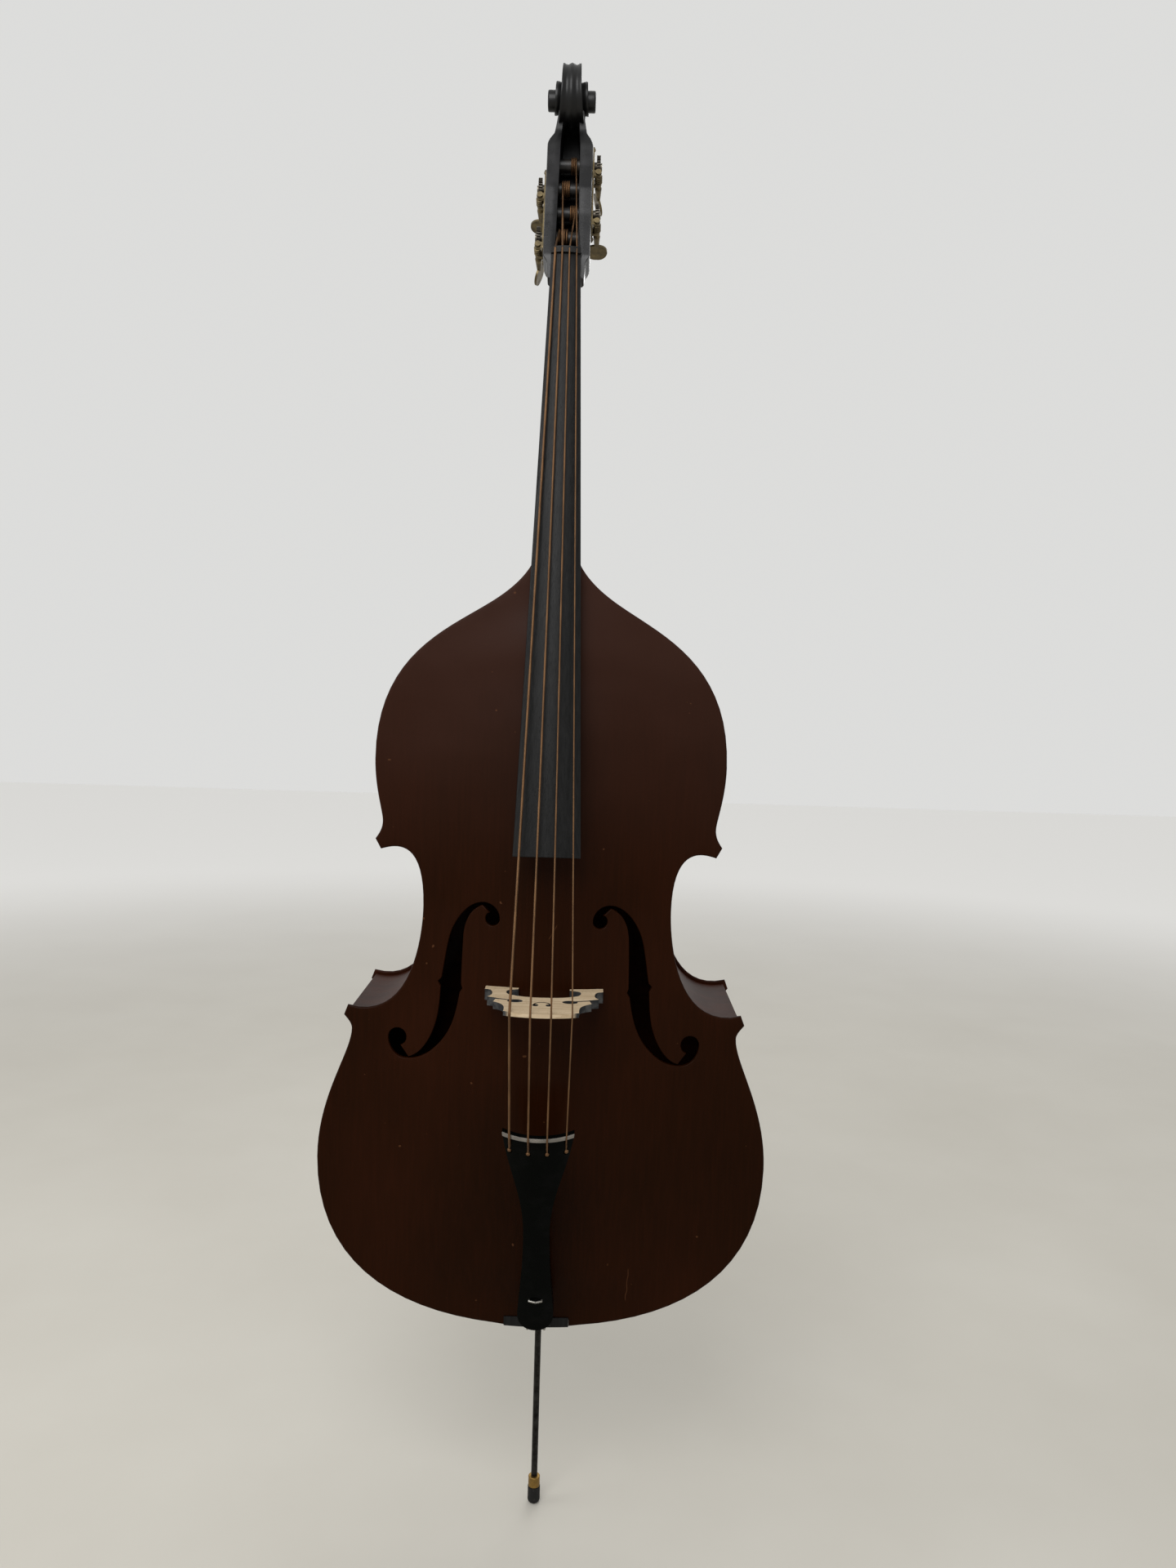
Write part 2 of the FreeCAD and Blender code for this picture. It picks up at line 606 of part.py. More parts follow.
def neck_section(z, width, depth):
    """Outline of the neck across its length: flat front, round back."""
    half = width / 2.0
    left, right = Vector(-half, 0, z), Vector(half, 0, z)
    slope = Vector(0, depth * 0.62, 0)
    back = Part.BezierCurve()
    back.setPoles([left, left + slope, Vector(-half * 0.62, depth, z), Vector(0, depth, z)])
    front = Part.BezierCurve()
    front.setPoles([Vector(0, depth, z), Vector(half * 0.62, depth, z), right + slope, right])
    return Part.Wire([back.toShape(), front.toShape(), Part.makeLine(right, left)])


def width_at(distance):
    """Fingerboard width at a distance below the nut."""
    return BOARD_NUT_WIDTH + (BOARD_END_WIDTH - BOARD_NUT_WIDTH) * distance / BOARD_LENGTH


def on_neck(shape):
    """Puts a piece from the neck's own frame in place."""
    return tilted(shape, GLUE_LINE_Y, NUT_Z, BOARD_ANGLE)


def neck_point(distance, depth):
    """(y, z) of a point below the nut and behind the fingerboard's glued face."""
    angle = math.radians(BOARD_ANGLE)
    return (GLUE_LINE_Y - distance * math.sin(angle) + depth * math.cos(angle),
            NUT_Z - distance * math.cos(angle) - depth * math.sin(angle))


def make_neck():
    """Neck with its heel and the tenon that is let into the body."""
    heel_start = 345.0
    sections = [neck_section(0.0, BOARD_NUT_WIDTH, NECK_NUT_DEPTH),
                neck_section(-heel_start, width_at(heel_start), NECK_HEEL_DEPTH)]
    shaft = on_neck(Part.makeLoft(sections, True, True))
    top = BASE + BODY_LENGTH
    front_high = neck_point(heel_start - 40.0, 0.5)
    front_low = neck_point((NUT_Z - top + TENON_LENGTH) / math.cos(math.radians(BOARD_ANGLE)), 0.0)
    high = neck_point(heel_start - 40.0, NECK_HEEL_DEPTH - 2.0)
    curve = Part.BezierCurve()
    curve.setPoles([Vector(0, *high), Vector(0, high[0] - 17.0, high[1] - 78.0),
                    Vector(0, high[0] + 10.0, top + BUTTON_HEIGHT + 8.0),
                    Vector(0, HALF_DEPTH, top + BUTTON_HEIGHT)])
    floor = top - TENON_LENGTH
    corners = [Vector(0, HALF_DEPTH, top + BUTTON_HEIGHT), Vector(0, HALF_DEPTH, floor),
               Vector(0, -RIM, floor), Vector(0, -RIM, top), Vector(0, *neck_point(
                   (NUT_Z - top) / math.cos(math.radians(BOARD_ANGLE)), 0.0)),
               Vector(0, *front_high), Vector(0, *high)]
    edges = [Part.makeLine(a, b) for a, b in zip(corners, corners[1:])]
    side = Part.Face(Part.Wire([curve.toShape()] + edges))
    side.translate(Vector(-HEEL_WIDTH / 2.0, 0, 0))
    heel = side.extrude(Vector(HEEL_WIDTH, 0, 0))
    keep("neck", fuse([shaft, heel]))


def make_fingerboard():
    """Long ebony-like board, flat behind and arched in front."""
    board = Part.makeLoft([board_section(0.0, BOARD_NUT_WIDTH, BOARD_NUT_RADIUS),
                           board_section(-BOARD_LENGTH, BOARD_END_WIDTH, BOARD_END_RADIUS)], True, True)
    hollow = Part.makeCylinder(BOARD_END_WIDTH * 0.36, 330.0, Vector(0, 17.0, -BOARD_LENGTH - 10.0),
                               Vector(0, 0, 1))
    keep("fingerboard", on_neck(board.cut(hollow)))


def string_at_nut(name):
    """Centre of a string over the nut."""
    x = STRINGS_AT_NUT[name]
    drop = rise(x, BOARD_NUT_RADIUS)
    return Vector(x, NUT_STRING_Y + drop, NUT_Z)


def string_at_bridge(name):
    """Centre of a string over the bridge."""
    x = STRINGS_AT_BRIDGE[name]
    return Vector(x, CROWN_Y + rise(x, CROWN_RADIUS), BRIDGE_Z)


def make_nut():
    """Nut at the top of the fingerboard, notched for the strings."""
    half = BOARD_NUT_WIDTH / 2.0
    top = BOARD_NUT_HEIGHT + NUT_RISE + 0.5
    blank = box(-half, half, -top, 0.0, 0.0, NUT_THICKNESS)
    round_front = Part.makeCylinder(BOARD_NUT_RADIUS, NUT_THICKNESS, Vector(0, BOARD_NUT_RADIUS - top, 0))
    nut = on_neck(blank.common(round_front))
    keep("nut", nut.cut(Part.makeCompound(string_paths(STRING_SEAT))))


# ---------------------------------------------------------------- head
def on_head(shape):
    """Puts a piece from the pegbox's own frame in place."""
    return tilted(shape, GLUE_LINE_Y, NUT_Z, HEAD_ANGLE)


def head_point(x, depth, along):
    """A point of the pegbox's frame in the bass's frame."""
    angle = math.radians(HEAD_ANGLE)
    return Vector(x, GLUE_LINE_Y + depth * math.cos(angle) + along * math.sin(angle),
                  NUT_Z - depth * math.sin(angle) + along * math.cos(angle))


def spiral(start_radius, end_radius, start, turns, steps=40):
    """Points of a spiral round the scroll's centre, as (depth, along)."""
    points = []
    for step in range(steps + 1):
        t = step / steps
        radius = start_radius * (end_radius / start_radius) ** t
        angle = math.radians(start + 360.0 * turns * t)
        points.append((SCROLL_CENTRE[0] + radius * math.cos(angle),
                       SCROLL_CENTRE[1] + radius * math.sin(angle)))
    return points


def spiral_disc(start_radius, end_radius, start, half_width):
    """A disc whose rim is one turn of a spiral."""
    points = spiral(start_radius, end_radius, start, 1.0)
    rim = Part.BSplineCurve()
    rim.interpolate([Vector(-half_width, d, s) for d, s in points])
    close = Part.makeLine(Vector(-half_width, *points[-1]), Vector(-half_width, *points[0]))
    face = Part.Face(Part.Wire([rim.toShape(), close]))
    return face.extrude(Vector(2.0 * half_width, 0, 0))


def make_head(neck_shape):
    """Pegbox and scroll, grafted round the end of the neck."""
    outer = spiral(SCROLL_RADIUS, 41.0, -5.0, 0.72)
    rim = Part.BSplineCurve()
    rim.interpolate([Vector(0, d, s) for d, s in outer])
    chin = Vector(0, *outer[-1])
    back = Part.BezierCurve()
    back.setPoles([Vector(0, 30.0, -SHOULDER_LENGTH), Vector(0, 46.0, -5.0), Vector(0, 62.0, 20.0),
                   Vector(0, 52.0, 130.0), Vector(0, 46.0, 190.0), Vector(0, *outer[0])])
    front = [chin, Vector(0, 2.0, 214.0), Vector(0, -6.0, 200.0), Vector(0, -6.0, 0.0),
             Vector(0, 2.0, -SHOULDER_LENGTH), Vector(0, 30.0, -SHOULDER_LENGTH)]
    edges = [rim.toShape()] + [Part.makeLine(a, b) for a, b in zip(front, front[1:])] + [back.toShape()]
    side = Part.Face(Part.Wire(edges))
    side.translate(Vector(-60.0, 0, 0))
    profile = side.extrude(Vector(120.0, 0, 0))
    thin, middle_turn, eye = SCROLL_HALF_WIDTHS
    widths = ((-SHOULDER_LENGTH, 27.5), (-4.0, CHEEK_OUTSIDE), (PEGBOX_END, CHEEK_OUTSIDE), (208.0, 24.5),
              (262.0, thin + 4.0), (SCROLL_CENTRE[1] + SCROLL_RADIUS + 5.0, thin))
    half = [Vector(w, -80.0, s) for s, w in widths]
    other = [Vector(-w, -80.0, s) for s, w in reversed(widths)]
    front_face = Part.Face(Part.makePolygon(half + other + half[:1]))
    head = profile.common(front_face.extrude(Vector(0, 200.0, 0)))
    head = fuse([head, spiral_disc(41.0, 26.0, 100.0, middle_turn), spiral_disc(25.0, 16.0, 100.0, 30.0),
                 Part.makeCylinder(13.0, 2.0 * eye, Vector(-eye, *SCROLL_CENTRE), Vector(1, 0, 0))])
    slot = box(-CHEEK_INSIDE, CHEEK_INSIDE, -20.0, PEGBOX_FLOOR, PEGBOX_START, PEGBOX_END)
    head = head.cut(slot)
    for name, place in PEG_PLACES.items():
        head = head.cut(Part.makeCylinder(ROLLER_RADIUS + RUNNING_FIT, 100.0,
                                          Vector(-50.0, PEG_DEPTH, place), Vector(1, 0, 0)))
    nut_room = box(-CHEEK_OUTSIDE, CHEEK_OUTSIDE, -30.0, 0.0, -40.0, 0.0)
    placed = on_head(head.cut(nut_room)).cut(neck_shape).cut(PIECES["nut"]).cut(PIECES["fingerboard"])
    keep("scroll_head", max(placed.Solids, key=lambda solid: solid.Volume))


# ---------------------------------------------------------------- tuning machines
def wheel():
    """Worm wheel about the X axis at the origin, with slots skewed to the worm."""
    blank = Part.makeCylinder(WHEEL_RADIUS, WHEEL_THICKNESS, Vector(-WHEEL_THICKNESS / 2.0, 0, 0),
                              Vector(1, 0, 0))
    half_pitch = WORM_LEAD / 4.0 + TOOTH_CLEARANCE
    slope = math.tan(math.radians(20.0))
    low, high = WHEEL_ROOT - PITCH_RADIUS, WHEEL_RADIUS - PITCH_RADIUS + 0.5
    profile = [(half_pitch + low * slope, low), (half_pitch + high * slope, high),
               (-half_pitch - high * slope, high), (-half_pitch - low * slope, low)]
    ring = [Vector(-WHEEL_THICKNESS, y, PITCH_RADIUS + z) for y, z in profile]
    cutter = Part.Face(Part.makePolygon(ring + ring[:1])).extrude(Vector(2.0 * WHEEL_THICKNESS, 0, 0))
    cutter.rotate(Vector(0, 0, 0), Vector(0, 0, 1), -LEAD_ANGLE)
    slots = []
    for index in range(TEETH):
        slot = cutter.copy()
        slot.rotate(Vector(0, 0, 0), Vector(1, 0, 0), 180.0 + 360.0 * index / TEETH)
        slots.append(slot)
    return blank.cut(Part.makeCompound(slots))


def worm_thread():
    """One worm thread round the Z axis, its crest on +X at z = 0."""
    turns = 2.5
    helix = Part.makeHelix(WORM_LEAD, 2.0 * turns * WORM_LEAD, WORM_PITCH_RADIUS)
    helix.translate(Vector(0, 0, -turns * WORM_LEAD))
    helix.rotate(Vector(0, 0, 0), Vector(0, 0, 1), 180.0)
    slope = math.tan(math.radians(20.0))
    half = WORM_LEAD / 4.0 - TOOTH_CLEARANCE
    low, high = WORM_ROOT - WORM_PITCH_RADIUS - 0.4, WORM_RADIUS - WORM_PITCH_RADIUS
    profile = [(low, half - low * slope), (high, half - high * slope),
               (high, -half + high * slope), (low, -half + low * slope)]
    z = -turns * WORM_LEAD
    ring = [Vector(-(WORM_PITCH_RADIUS + r), 0, z + h) for r, h in profile]
    section = Part.makePolygon(ring + ring[:1])
    return Part.Wire(helix.Edges).makePipeShell([section], True, True)


def key_blank(ear_turn):
    """Worm, shaft, stem and ear of one key, along +Z towards the ear."""
    half = WORM_LENGTH / 2.0
    room = Part.makeCylinder(WORM_RADIUS + 1.0, WORM_LENGTH - 1.0, Vector(0, 0, -half + 0.5))
    core = Part.makeCylinder(WORM_ROOT, WORM_LENGTH, Vector(0, 0, -half))
    worm = core.fuse(worm_thread().common(room))
    front = Part.makeCylinder(WORM_SHAFT_RADIUS, LUG_THICKNESS + 1.5, Vector(0, 0, -half - LUG_THICKNESS - 1.5))
    cap = Part.makeCylinder(4.3, 2.0, Vector(0, 0, -half - LUG_THICKNESS - 3.5))
    rear = Part.makeCylinder(WORM_SHAFT_RADIUS, LUG_THICKNESS + KEY_STEM, Vector(0, 0, half))
    knob = Part.makeCone(3.4, 5.2, 6.0, Vector(0, 0, half + LUG_THICKNESS + 1.0))
    start = half + LUG_THICKNESS + KEY_STEM - 4.0
    waist = 4.4
    ear = Part.BezierCurve()
    ear.setPoles([Vector(waist, 0, start), Vector(KEY_EAR_WIDTH * 0.95, 0, start + 4.0),
                  Vector(KEY_EAR_WIDTH * 0.62, 0, start + KEY_EAR_LENGTH),
                  Vector(0, 0, start + KEY_EAR_LENGTH - 3.0)])
    right = ear.toShape()
    left = right.mirror(Vector(0, 0, 0), Vector(1, 0, 0))
    foot = Part.makeLine(Vector(-waist, 0, start), Vector(waist, 0, start))
    flat = Part.Face(Part.Wire([right, left, foot]))
    flat.translate(Vector(0, -KEY_EAR_THICKNESS / 2.0, 0))
    blade = flat.extrude(Vector(0, KEY_EAR_THICKNESS, 0))
    tail = [rear, knob, blade, Part.makeCone(5.2, 3.4, KEY_STEM - 9.0, Vector(0, 0, half + LUG_THICKNESS + 7.0))]
    for shape in tail:
        shape.rotate(Vector(0, 0, 0), Vector(0, 0, 1), ear_turn)
    return fuse([worm, front, cap] + tail)


def on_left_machine(shape, place):
    """Puts a piece of the left-hand machines at its peg's place."""
    moved = shape.copy()
    moved.translate(Vector(-WHEEL_X, PEG_DEPTH, place))
    return on_head(moved)


def make_machines():
    """Plates, keys, wheels, pegs, screws and string windings."""
    lug_back = SHAFT_FACE + WORM_LENGTH + 0.3
    for side, names in (("left", LEFT_PEGS), ("right", ("d", "g"))):
        places = [PEG_PLACES[name] for name in names]
        low, high = min(places) - 34.0, max(places) + 22.0
        half = TUNER_PLATE_WIDTH / 2.0
        inner = -CHEEK_OUTSIDE - PLATE_THICKNESS
        plate_solid = box(inner, -CHEEK_OUTSIDE, PEG_DEPTH - half, PEG_DEPTH + half, low, high)
        corners = [edge for edge in plate_solid.Edges
                   if abs(edge.Vertexes[0].Point.x - edge.Vertexes[1].Point.x) > 1.0]
        plate_solid = plate_solid.makeFillet(7.0, corners)
        lugs = [plate_solid]
        holes = []
        for place in places:
            worm_s = place - MESH_DISTANCE
            for depth in (SHAFT_FACE - 0.3 - LUG_THICKNESS, lug_back):
                base = box(-WHEEL_X, inner, depth, depth + LUG_THICKNESS,
                           worm_s - LUG_RADIUS, worm_s + LUG_RADIUS)
                ring = Part.makeCylinder(LUG_RADIUS, LUG_THICKNESS, Vector(-WHEEL_X, depth, worm_s),
                                         Vector(0, 1, 0))
                lugs += [base, ring]
            holes.append(Part.makeCylinder(WORM_SHAFT_RADIUS + RUNNING_FIT, 80.0,
                                           Vector(-WHEEL_X, -20.0, worm_s), Vector(0, 1, 0)))
            holes.append(Part.makeCylinder(SPINDLE_RADIUS + RUNNING_FIT, 10.0,
                                           Vector(inner - 4.0, PEG_DEPTH, place), Vector(1, 0, 0)))
            make_machine(names[places.index(place)], place, side)
        screws = []
        for place in (low + 5.0, 0.5 * (places[0] + places[1]) + 3.0, high - 5.0):
            for depth in (-half + 5.0, half - 5.0):
                screws.append(Vector(inner, PEG_DEPTH + depth, place))
                holes.append(Part.makeCylinder(1.9, 10.0, screws[-1] + Vector(-4.0, 0, 0), Vector(1, 0, 0)))
        finished = on_head(fuse(lugs).cut(Part.makeCompound(holes)))
        SCREW_PLACES[side] = screws
        keep("tuner_plate_%s" % side, finished if side == "left" else mirrored(finished))


SCREW_PLACES = {}


def make_machine(name, place, side):
    """The moving pieces of one string's machine."""
    worm_wheel = wheel()
    hub = Part.makeCylinder(7.0, WORM_RADIUS + 0.6 - WHEEL_THICKNESS / 2.0 - 0.2,
                            Vector(WHEEL_THICKNESS / 2.0, 0, 0), Vector(1, 0, 0))
    bore = Part.makeCylinder(SPINDLE_RADIUS, 40.0, Vector(-20.0, 0, 0), Vector(1, 0, 0))
    shaft = Part.makeCylinder(SPINDLE_RADIUS, WHEEL_X - CHEEK_OUTSIDE + WHEEL_THICKNESS / 2.0 + 1.0,
                              Vector(-WHEEL_THICKNESS / 2.0, 0, 0), Vector(1, 0, 0))
    reach = WHEEL_X + CHEEK_OUTSIDE - 2.0
    roller = Part.makeCylinder(ROLLER_RADIUS, reach - (WHEEL_X - CHEEK_OUTSIDE) - 0.5,
                               Vector(WHEEL_X - CHEEK_OUTSIDE + 0.5, 0, 0), Vector(1, 0, 0))
    screw_hole = Part.makeCylinder(1.6, 9.0, Vector(-WHEEL_THICKNESS / 2.0, 0, 0), Vector(1, 0, 0))
    head = Part.makeCylinder(SCREW_HEAD_RADIUS + 1.6, 2.2, Vector(-WHEEL_THICKNESS / 2.0 - 2.2, 0, 0),
                             Vector(1, 0, 0))
    notch = box(-WHEEL_THICKNESS / 2.0 - 2.3, -WHEEL_THICKNESS / 2.0 - 1.2, -6.0, 6.0, -0.6, 0.6)
    pieces = {
        "tuner_gear_": worm_wheel.fuse(hub).cut(bore),
        "peg_": fuse([shaft, roller]).cut(screw_hole),
        "gear_screw_": fuse([head, screw_hole]).cut(notch),
    }
    turns = []
    for index in range(WINDING_TURNS):
        x = WHEEL_X + WINDING_STARTS[name] + index * 2.05 * STRING_RADII[name]
        turns.append(Part.makeTorus(ROLLER_RADIUS + STRING_RADII[name] + 0.02, STRING_RADII[name],
                                    Vector(x, 0, 0), Vector(1, 0, 0)))
    pieces["string_winding_"] = Part.makeCompound(turns)
    key = key_blank(90.0 if name in ("d", "a") else 20.0)
    key.rotate(Vector(0, 0, 0), Vector(0, 0, 1), -90.0)
    key.rotate(Vector(0, 0, 0), Vector(1, 0, 0), -90.0)
    key.translate(Vector(0, 0, -MESH_DISTANCE))
    pieces["worm_key_"] = key
    for prefix, shape in pieces.items():
        placed = on_left_machine(shape, place)
        keep(prefix + name, placed if side == "left" else mirrored(placed))


def make_plate_screws():
    """Countersunk wood screws that hold both tuner plates, as one set."""
    screws = []
    for side, places in SCREW_PLACES.items():
        for place in places:
            head = Part.makeSphere(3.4, place + Vector(1.6, 0, 0))
            head = head.common(box(place.x - 4.0, place.x, place.y - 5, place.y + 5, place.z - 5, place.z + 5))
            stem = Part.makeCylinder(1.8, PLATE_THICKNESS, place, Vector(1, 0, 0))
            screw = on_head(head.fuse(stem))
            screws.append(screw if side == "left" else mirrored(screw))
    keep("plate_screws", Part.makeCompound(screws))


# ---------------------------------------------------------------- strings
def string_route(name):
    """The bends of one string, from its ball in the tailpiece to the pegbox."""
    crown, nut = string_at_bridge(name), string_at_nut(name)
    rear = nut + Vector(0, NUT_THICKNESS * math.sin(math.radians(BOARD_ANGLE)) + 0.4,
                        NUT_THICKNESS * math.cos(math.radians(BOARD_ANGLE)))
    side = -1.0 if name in LEFT_PEGS else 1.0
    x = -side * WINDING_STARTS[name]
    place = PEG_PLACES[name]
    clear = ROLLER_RADIUS + 2.0 * STRING_RADII[name] + 0.02
    end = head_point(x, PEG_DEPTH - clear - 0.3 - STRING_RADII[name], place)
    return [tail_fret_point(name), crown, nut, rear, end]


def string_solid(points, radius):
    """A round string through its bends."""
    shapes = []
    for start, finish in zip(points, points[1:]):
        shapes.append(Part.makeCylinder(radius, (finish - start).Length, start, finish - start))
    for bend in points[1:-1]:
        shapes.append(Part.makeSphere(radius + BEND_SPARE, bend))
    return fuse(shapes)


def string_paths(extra):
    """All strings, thickened, as cutters for the nut and the bridge."""
    return [string_solid(string_route(name), STRING_RADII[name] + extra) for name in STRING_RADII]


def make_strings():
    """Four strings, each with the ball that holds it in the tailpiece."""
    for name, radius in STRING_RADII.items():
        route = string_route(name)
        hole = tail_hole_point(name)
        body = string_solid([hole] + route, radius)
        ball = Part.makeSphere(STRING_HOLE_RADIUS - 0.5, hole)
        keep("string_%s" % name, body.fuse(ball))


# ---------------------------------------------------------------- bridge
BRIDGE_OUTLINE = (
    (51.0, 102.0, -92.0, 0.0, 16.0),
    (67.7, 64.0, -30.0, 20.0, 0.0),
)
BRIDGE_WAIST = (64.5, 48.0)     # outer end of the slit that runs in to each eye
BRIDGE_HIP = (
    (77.7, 43.0, -128.0, 0.0, 8.0),
    (72.5, 22.0, -80.0, 10.0, 7.0),
    (84.0, 9.0, -8.0, 9.0, 0.0),
)
BRIDGE_ARCH = (
    (36.5, 6.0, 20.0, 0.0, 9.0),
    (52.8, 18.0, 90.0, 8.0, 9.0),
    (43.0, 34.0, 155.0, 7.0, 12.0),
    (0.0, 42.0, 180.0, 24.0, 0.0),
)
BRIDGE_EYE = (38.0, 59.0, 10.8, 6.6)    # x, height, half length, half height
HEART_HEIGHT = 74.0
HEART_RADIUS = 12.5
HEART_GAP = 2.2
HEART_LOBE = 4.3
BRIDGE_FOOT_THICKNESS = 16.0
BRIDGE_CROWN_THICKNESS = 5.0
BRIDGE_SPARE = 20.0             # left under the feet, until they're cut to the arch
CROWN_STEPS = 8


def bridge_cuts(thick):
    """The bridge's two eyes with their slits, and the heart: two lobes on a thin arc."""
    x, height, half_length, half_height = BRIDGE_EYE
    flat = thick / 2.0
    cuts = []
    for side in (-1.0, 1.0):
        centre = Vector(side * x, -flat, height)
        oval = Part.Ellipse(centre + Vector(half_length, 0, 0), centre + Vector(0, 0, half_height), centre)
        eye = Part.Face(Part.Wire([oval.toShape()])).extrude(Vector(0, thick, 0))
        slit = [Vector(side * (x + 4.0), -flat, height - 2.0),
                Vector(side * (x + 7.0), -flat, height - 5.5),
                Vector(side * 85.0, -flat, BRIDGE_WAIST[1] - 4.0),
                Vector(side * 85.0, -flat, BRIDGE_WAIST[1] + 1.0)]
        cuts.append(eye.fuse(Part.Face(Part.makePolygon(slit + slit[:1])).extrude(Vector(0, thick, 0))))
    middle = Vector(0, -flat, HEART_HEIGHT)
    ring = Part.makeCylinder(HEART_RADIUS, thick, middle, Vector(0, 1, 0))
    tongue = Part.makeCylinder(HEART_RADIUS - HEART_GAP, thick, middle, Vector(0, 1, 0))
    lower = box(-20.0, 20.0, -flat, flat, HEART_HEIGHT - 20.0, HEART_HEIGHT)
    heart = [ring.cut(tongue).common(lower)]
    for side in (-1.0, 1.0):
        lobe = middle + Vector(side * (HEART_RADIUS - HEART_LOBE + 1.0), 0, 1.0)
        heart.append(Part.makeCylinder(HEART_LOBE, thick, lobe, Vector(0, 1, 0)))
    return cuts + [fuse(heart)]


def make_bridge(top_surface):
    """Carved bridge: arched crown, waist slits, a heart and two legs."""
    turn = math.asin(BRIDGE_OUTLINE[0][0] / CROWN_RADIUS)
    angles = [turn * i / CROWN_STEPS for i in range(CROWN_STEPS + 1)]
    crown = [(CROWN_RADIUS * math.sin(a), BRIDGE_HEIGHT - CROWN_RADIUS * (1.0 - math.cos(a))) for a in angles]
    shoulder = [p[:2] for p in curve_points(BRIDGE_OUTLINE)]
    shoulder[0] = crown[-1]
    hip = [p[:2] for p in curve_points(BRIDGE_HIP)]
    legs = [p[:2] for p in curve_points(BRIDGE_ARCH)]
    toe = (hip[-1][0], -BRIDGE_SPARE)
    instep = (legs[0][0], -BRIDGE_SPARE)
    runs = [crown, shoulder, [shoulder[-1], BRIDGE_WAIST], [BRIDGE_WAIST, hip[0]], hip,
            [hip[-1], toe], [toe, instep], [instep, legs[0]], legs]
    left = [[(-x, z) for x, z in reversed(run)] for run in reversed(runs)]
    face = closed_face(runs + left)
    thick = BRIDGE_FOOT_THICKNESS + 20.0
    face.translate(Vector(0, -thick / 2.0, 0))
    blank = face.extrude(Vector(0, thick, 0))
    for opening in bridge_cuts(thick):
        blank = blank.cut(opening)
    foot_half, crown_half = BRIDGE_FOOT_THICKNESS / 2.0, BRIDGE_CROWN_THICKNESS / 2.0
    wedge = [Vector(-90, -foot_half, -BRIDGE_SPARE), Vector(-90, foot_half, -BRIDGE_SPARE),
             Vector(-90, foot_half, 12),
             Vector(-90, crown_half, BRIDGE_HEIGHT + 2), Vector(-90, -crown_half, BRIDGE_HEIGHT + 2),
             Vector(-90, -foot_half, 12)]
    taper = Part.Face(Part.makePolygon(wedge + wedge[:1])).extrude(Vector(180, 0, 0))
    bridge = blank.common(taper)
    bridge.rotate(Vector(0, 0, 0), Vector(1, 0, 0), 90.0)
    bridge.translate(Vector(0, ARCH_CREST, BRIDGE_Z))
    under = top_surface.copy()
    under.translate(Vector(0, -GLUE_GAP, 0))
    bridge = bridge.cut(under.extrude(Vector(0, 60.0, 0)))
    keep("bridge", bridge.cut(Part.makeCompound(string_paths(STRING_SEAT))))


# ---------------------------------------------------------------- tailpiece
def on_tail(shape):
    """Puts a piece from the tailpiece's own frame in place; it leans forwards."""
    return tilted(shape, TAILPIECE_FOOT[0], BASE + TAILPIECE_FOOT[1], -TAILPIECE_ANGLE)


def tail_point(x, depth, along):
    """A point of the tailpiece's frame in the bass's frame."""
    angle = math.radians(TAILPIECE_ANGLE)
    return Vector(x, TAILPIECE_FOOT[0] + depth * math.cos(angle) - along * math.sin(angle),
                  BASE + TAILPIECE_FOOT[1] + depth * math.sin(angle) + along * math.cos(angle))


def tail_x(name):
    """Sideways place of a string over the tailpiece."""
    return STRINGS_AT_BRIDGE[name] * 0.92


def tail_fret_point(name):
    """Centre of a string over the tailpiece's fret."""
    x = tail_x(name)
    over = TAIL_RADIUS + FRET_RISE + STRING_RADII[name] + STRING_SEAT + 0.15 * FRET_WIDTH
    depth = TAIL_RADIUS - TAILPIECE_THICKNESS - math.sqrt(over * over - x * x)
    return tail_point(x, depth, TAILPIECE_LENGTH - FRET_INSET - FRET_WIDTH / 2.0)


def tail_hole_point(name):
    """Centre of a string's ball in its hole."""
    x = tail_x(name)
    depth = -TAILPIECE_THICKNESS + rise(x, TAIL_RADIUS) + 2.0
    return tail_point(x, depth, TAILPIECE_LENGTH - HOLES_BELOW_FRET)


def tail_outline():
    """Front outline of the tailpiece, right half, as runs of (x, along)."""
    top, waist, foot = (w / 2.0 for w in (TAILPIECE_TOP_WIDTH, TAILPIECE_WAIST_WIDTH, TAILPIECE_FOOT_WIDTH))
    nodes = ((top, TAILPIECE_LENGTH, -97.0, 0.0, 60.0),
             (waist, 170.0, -90.0, 70.0, 60.0),
             (foot, 30.0, -86.0, 40.0, 14.0),
             (0.0, 0.0, 180.0, 22.0, 0.0))
    return [[(0.0, TAILPIECE_LENGTH), (top, TAILPIECE_LENGTH)], [p[:2] for p in curve_points(nodes)]]


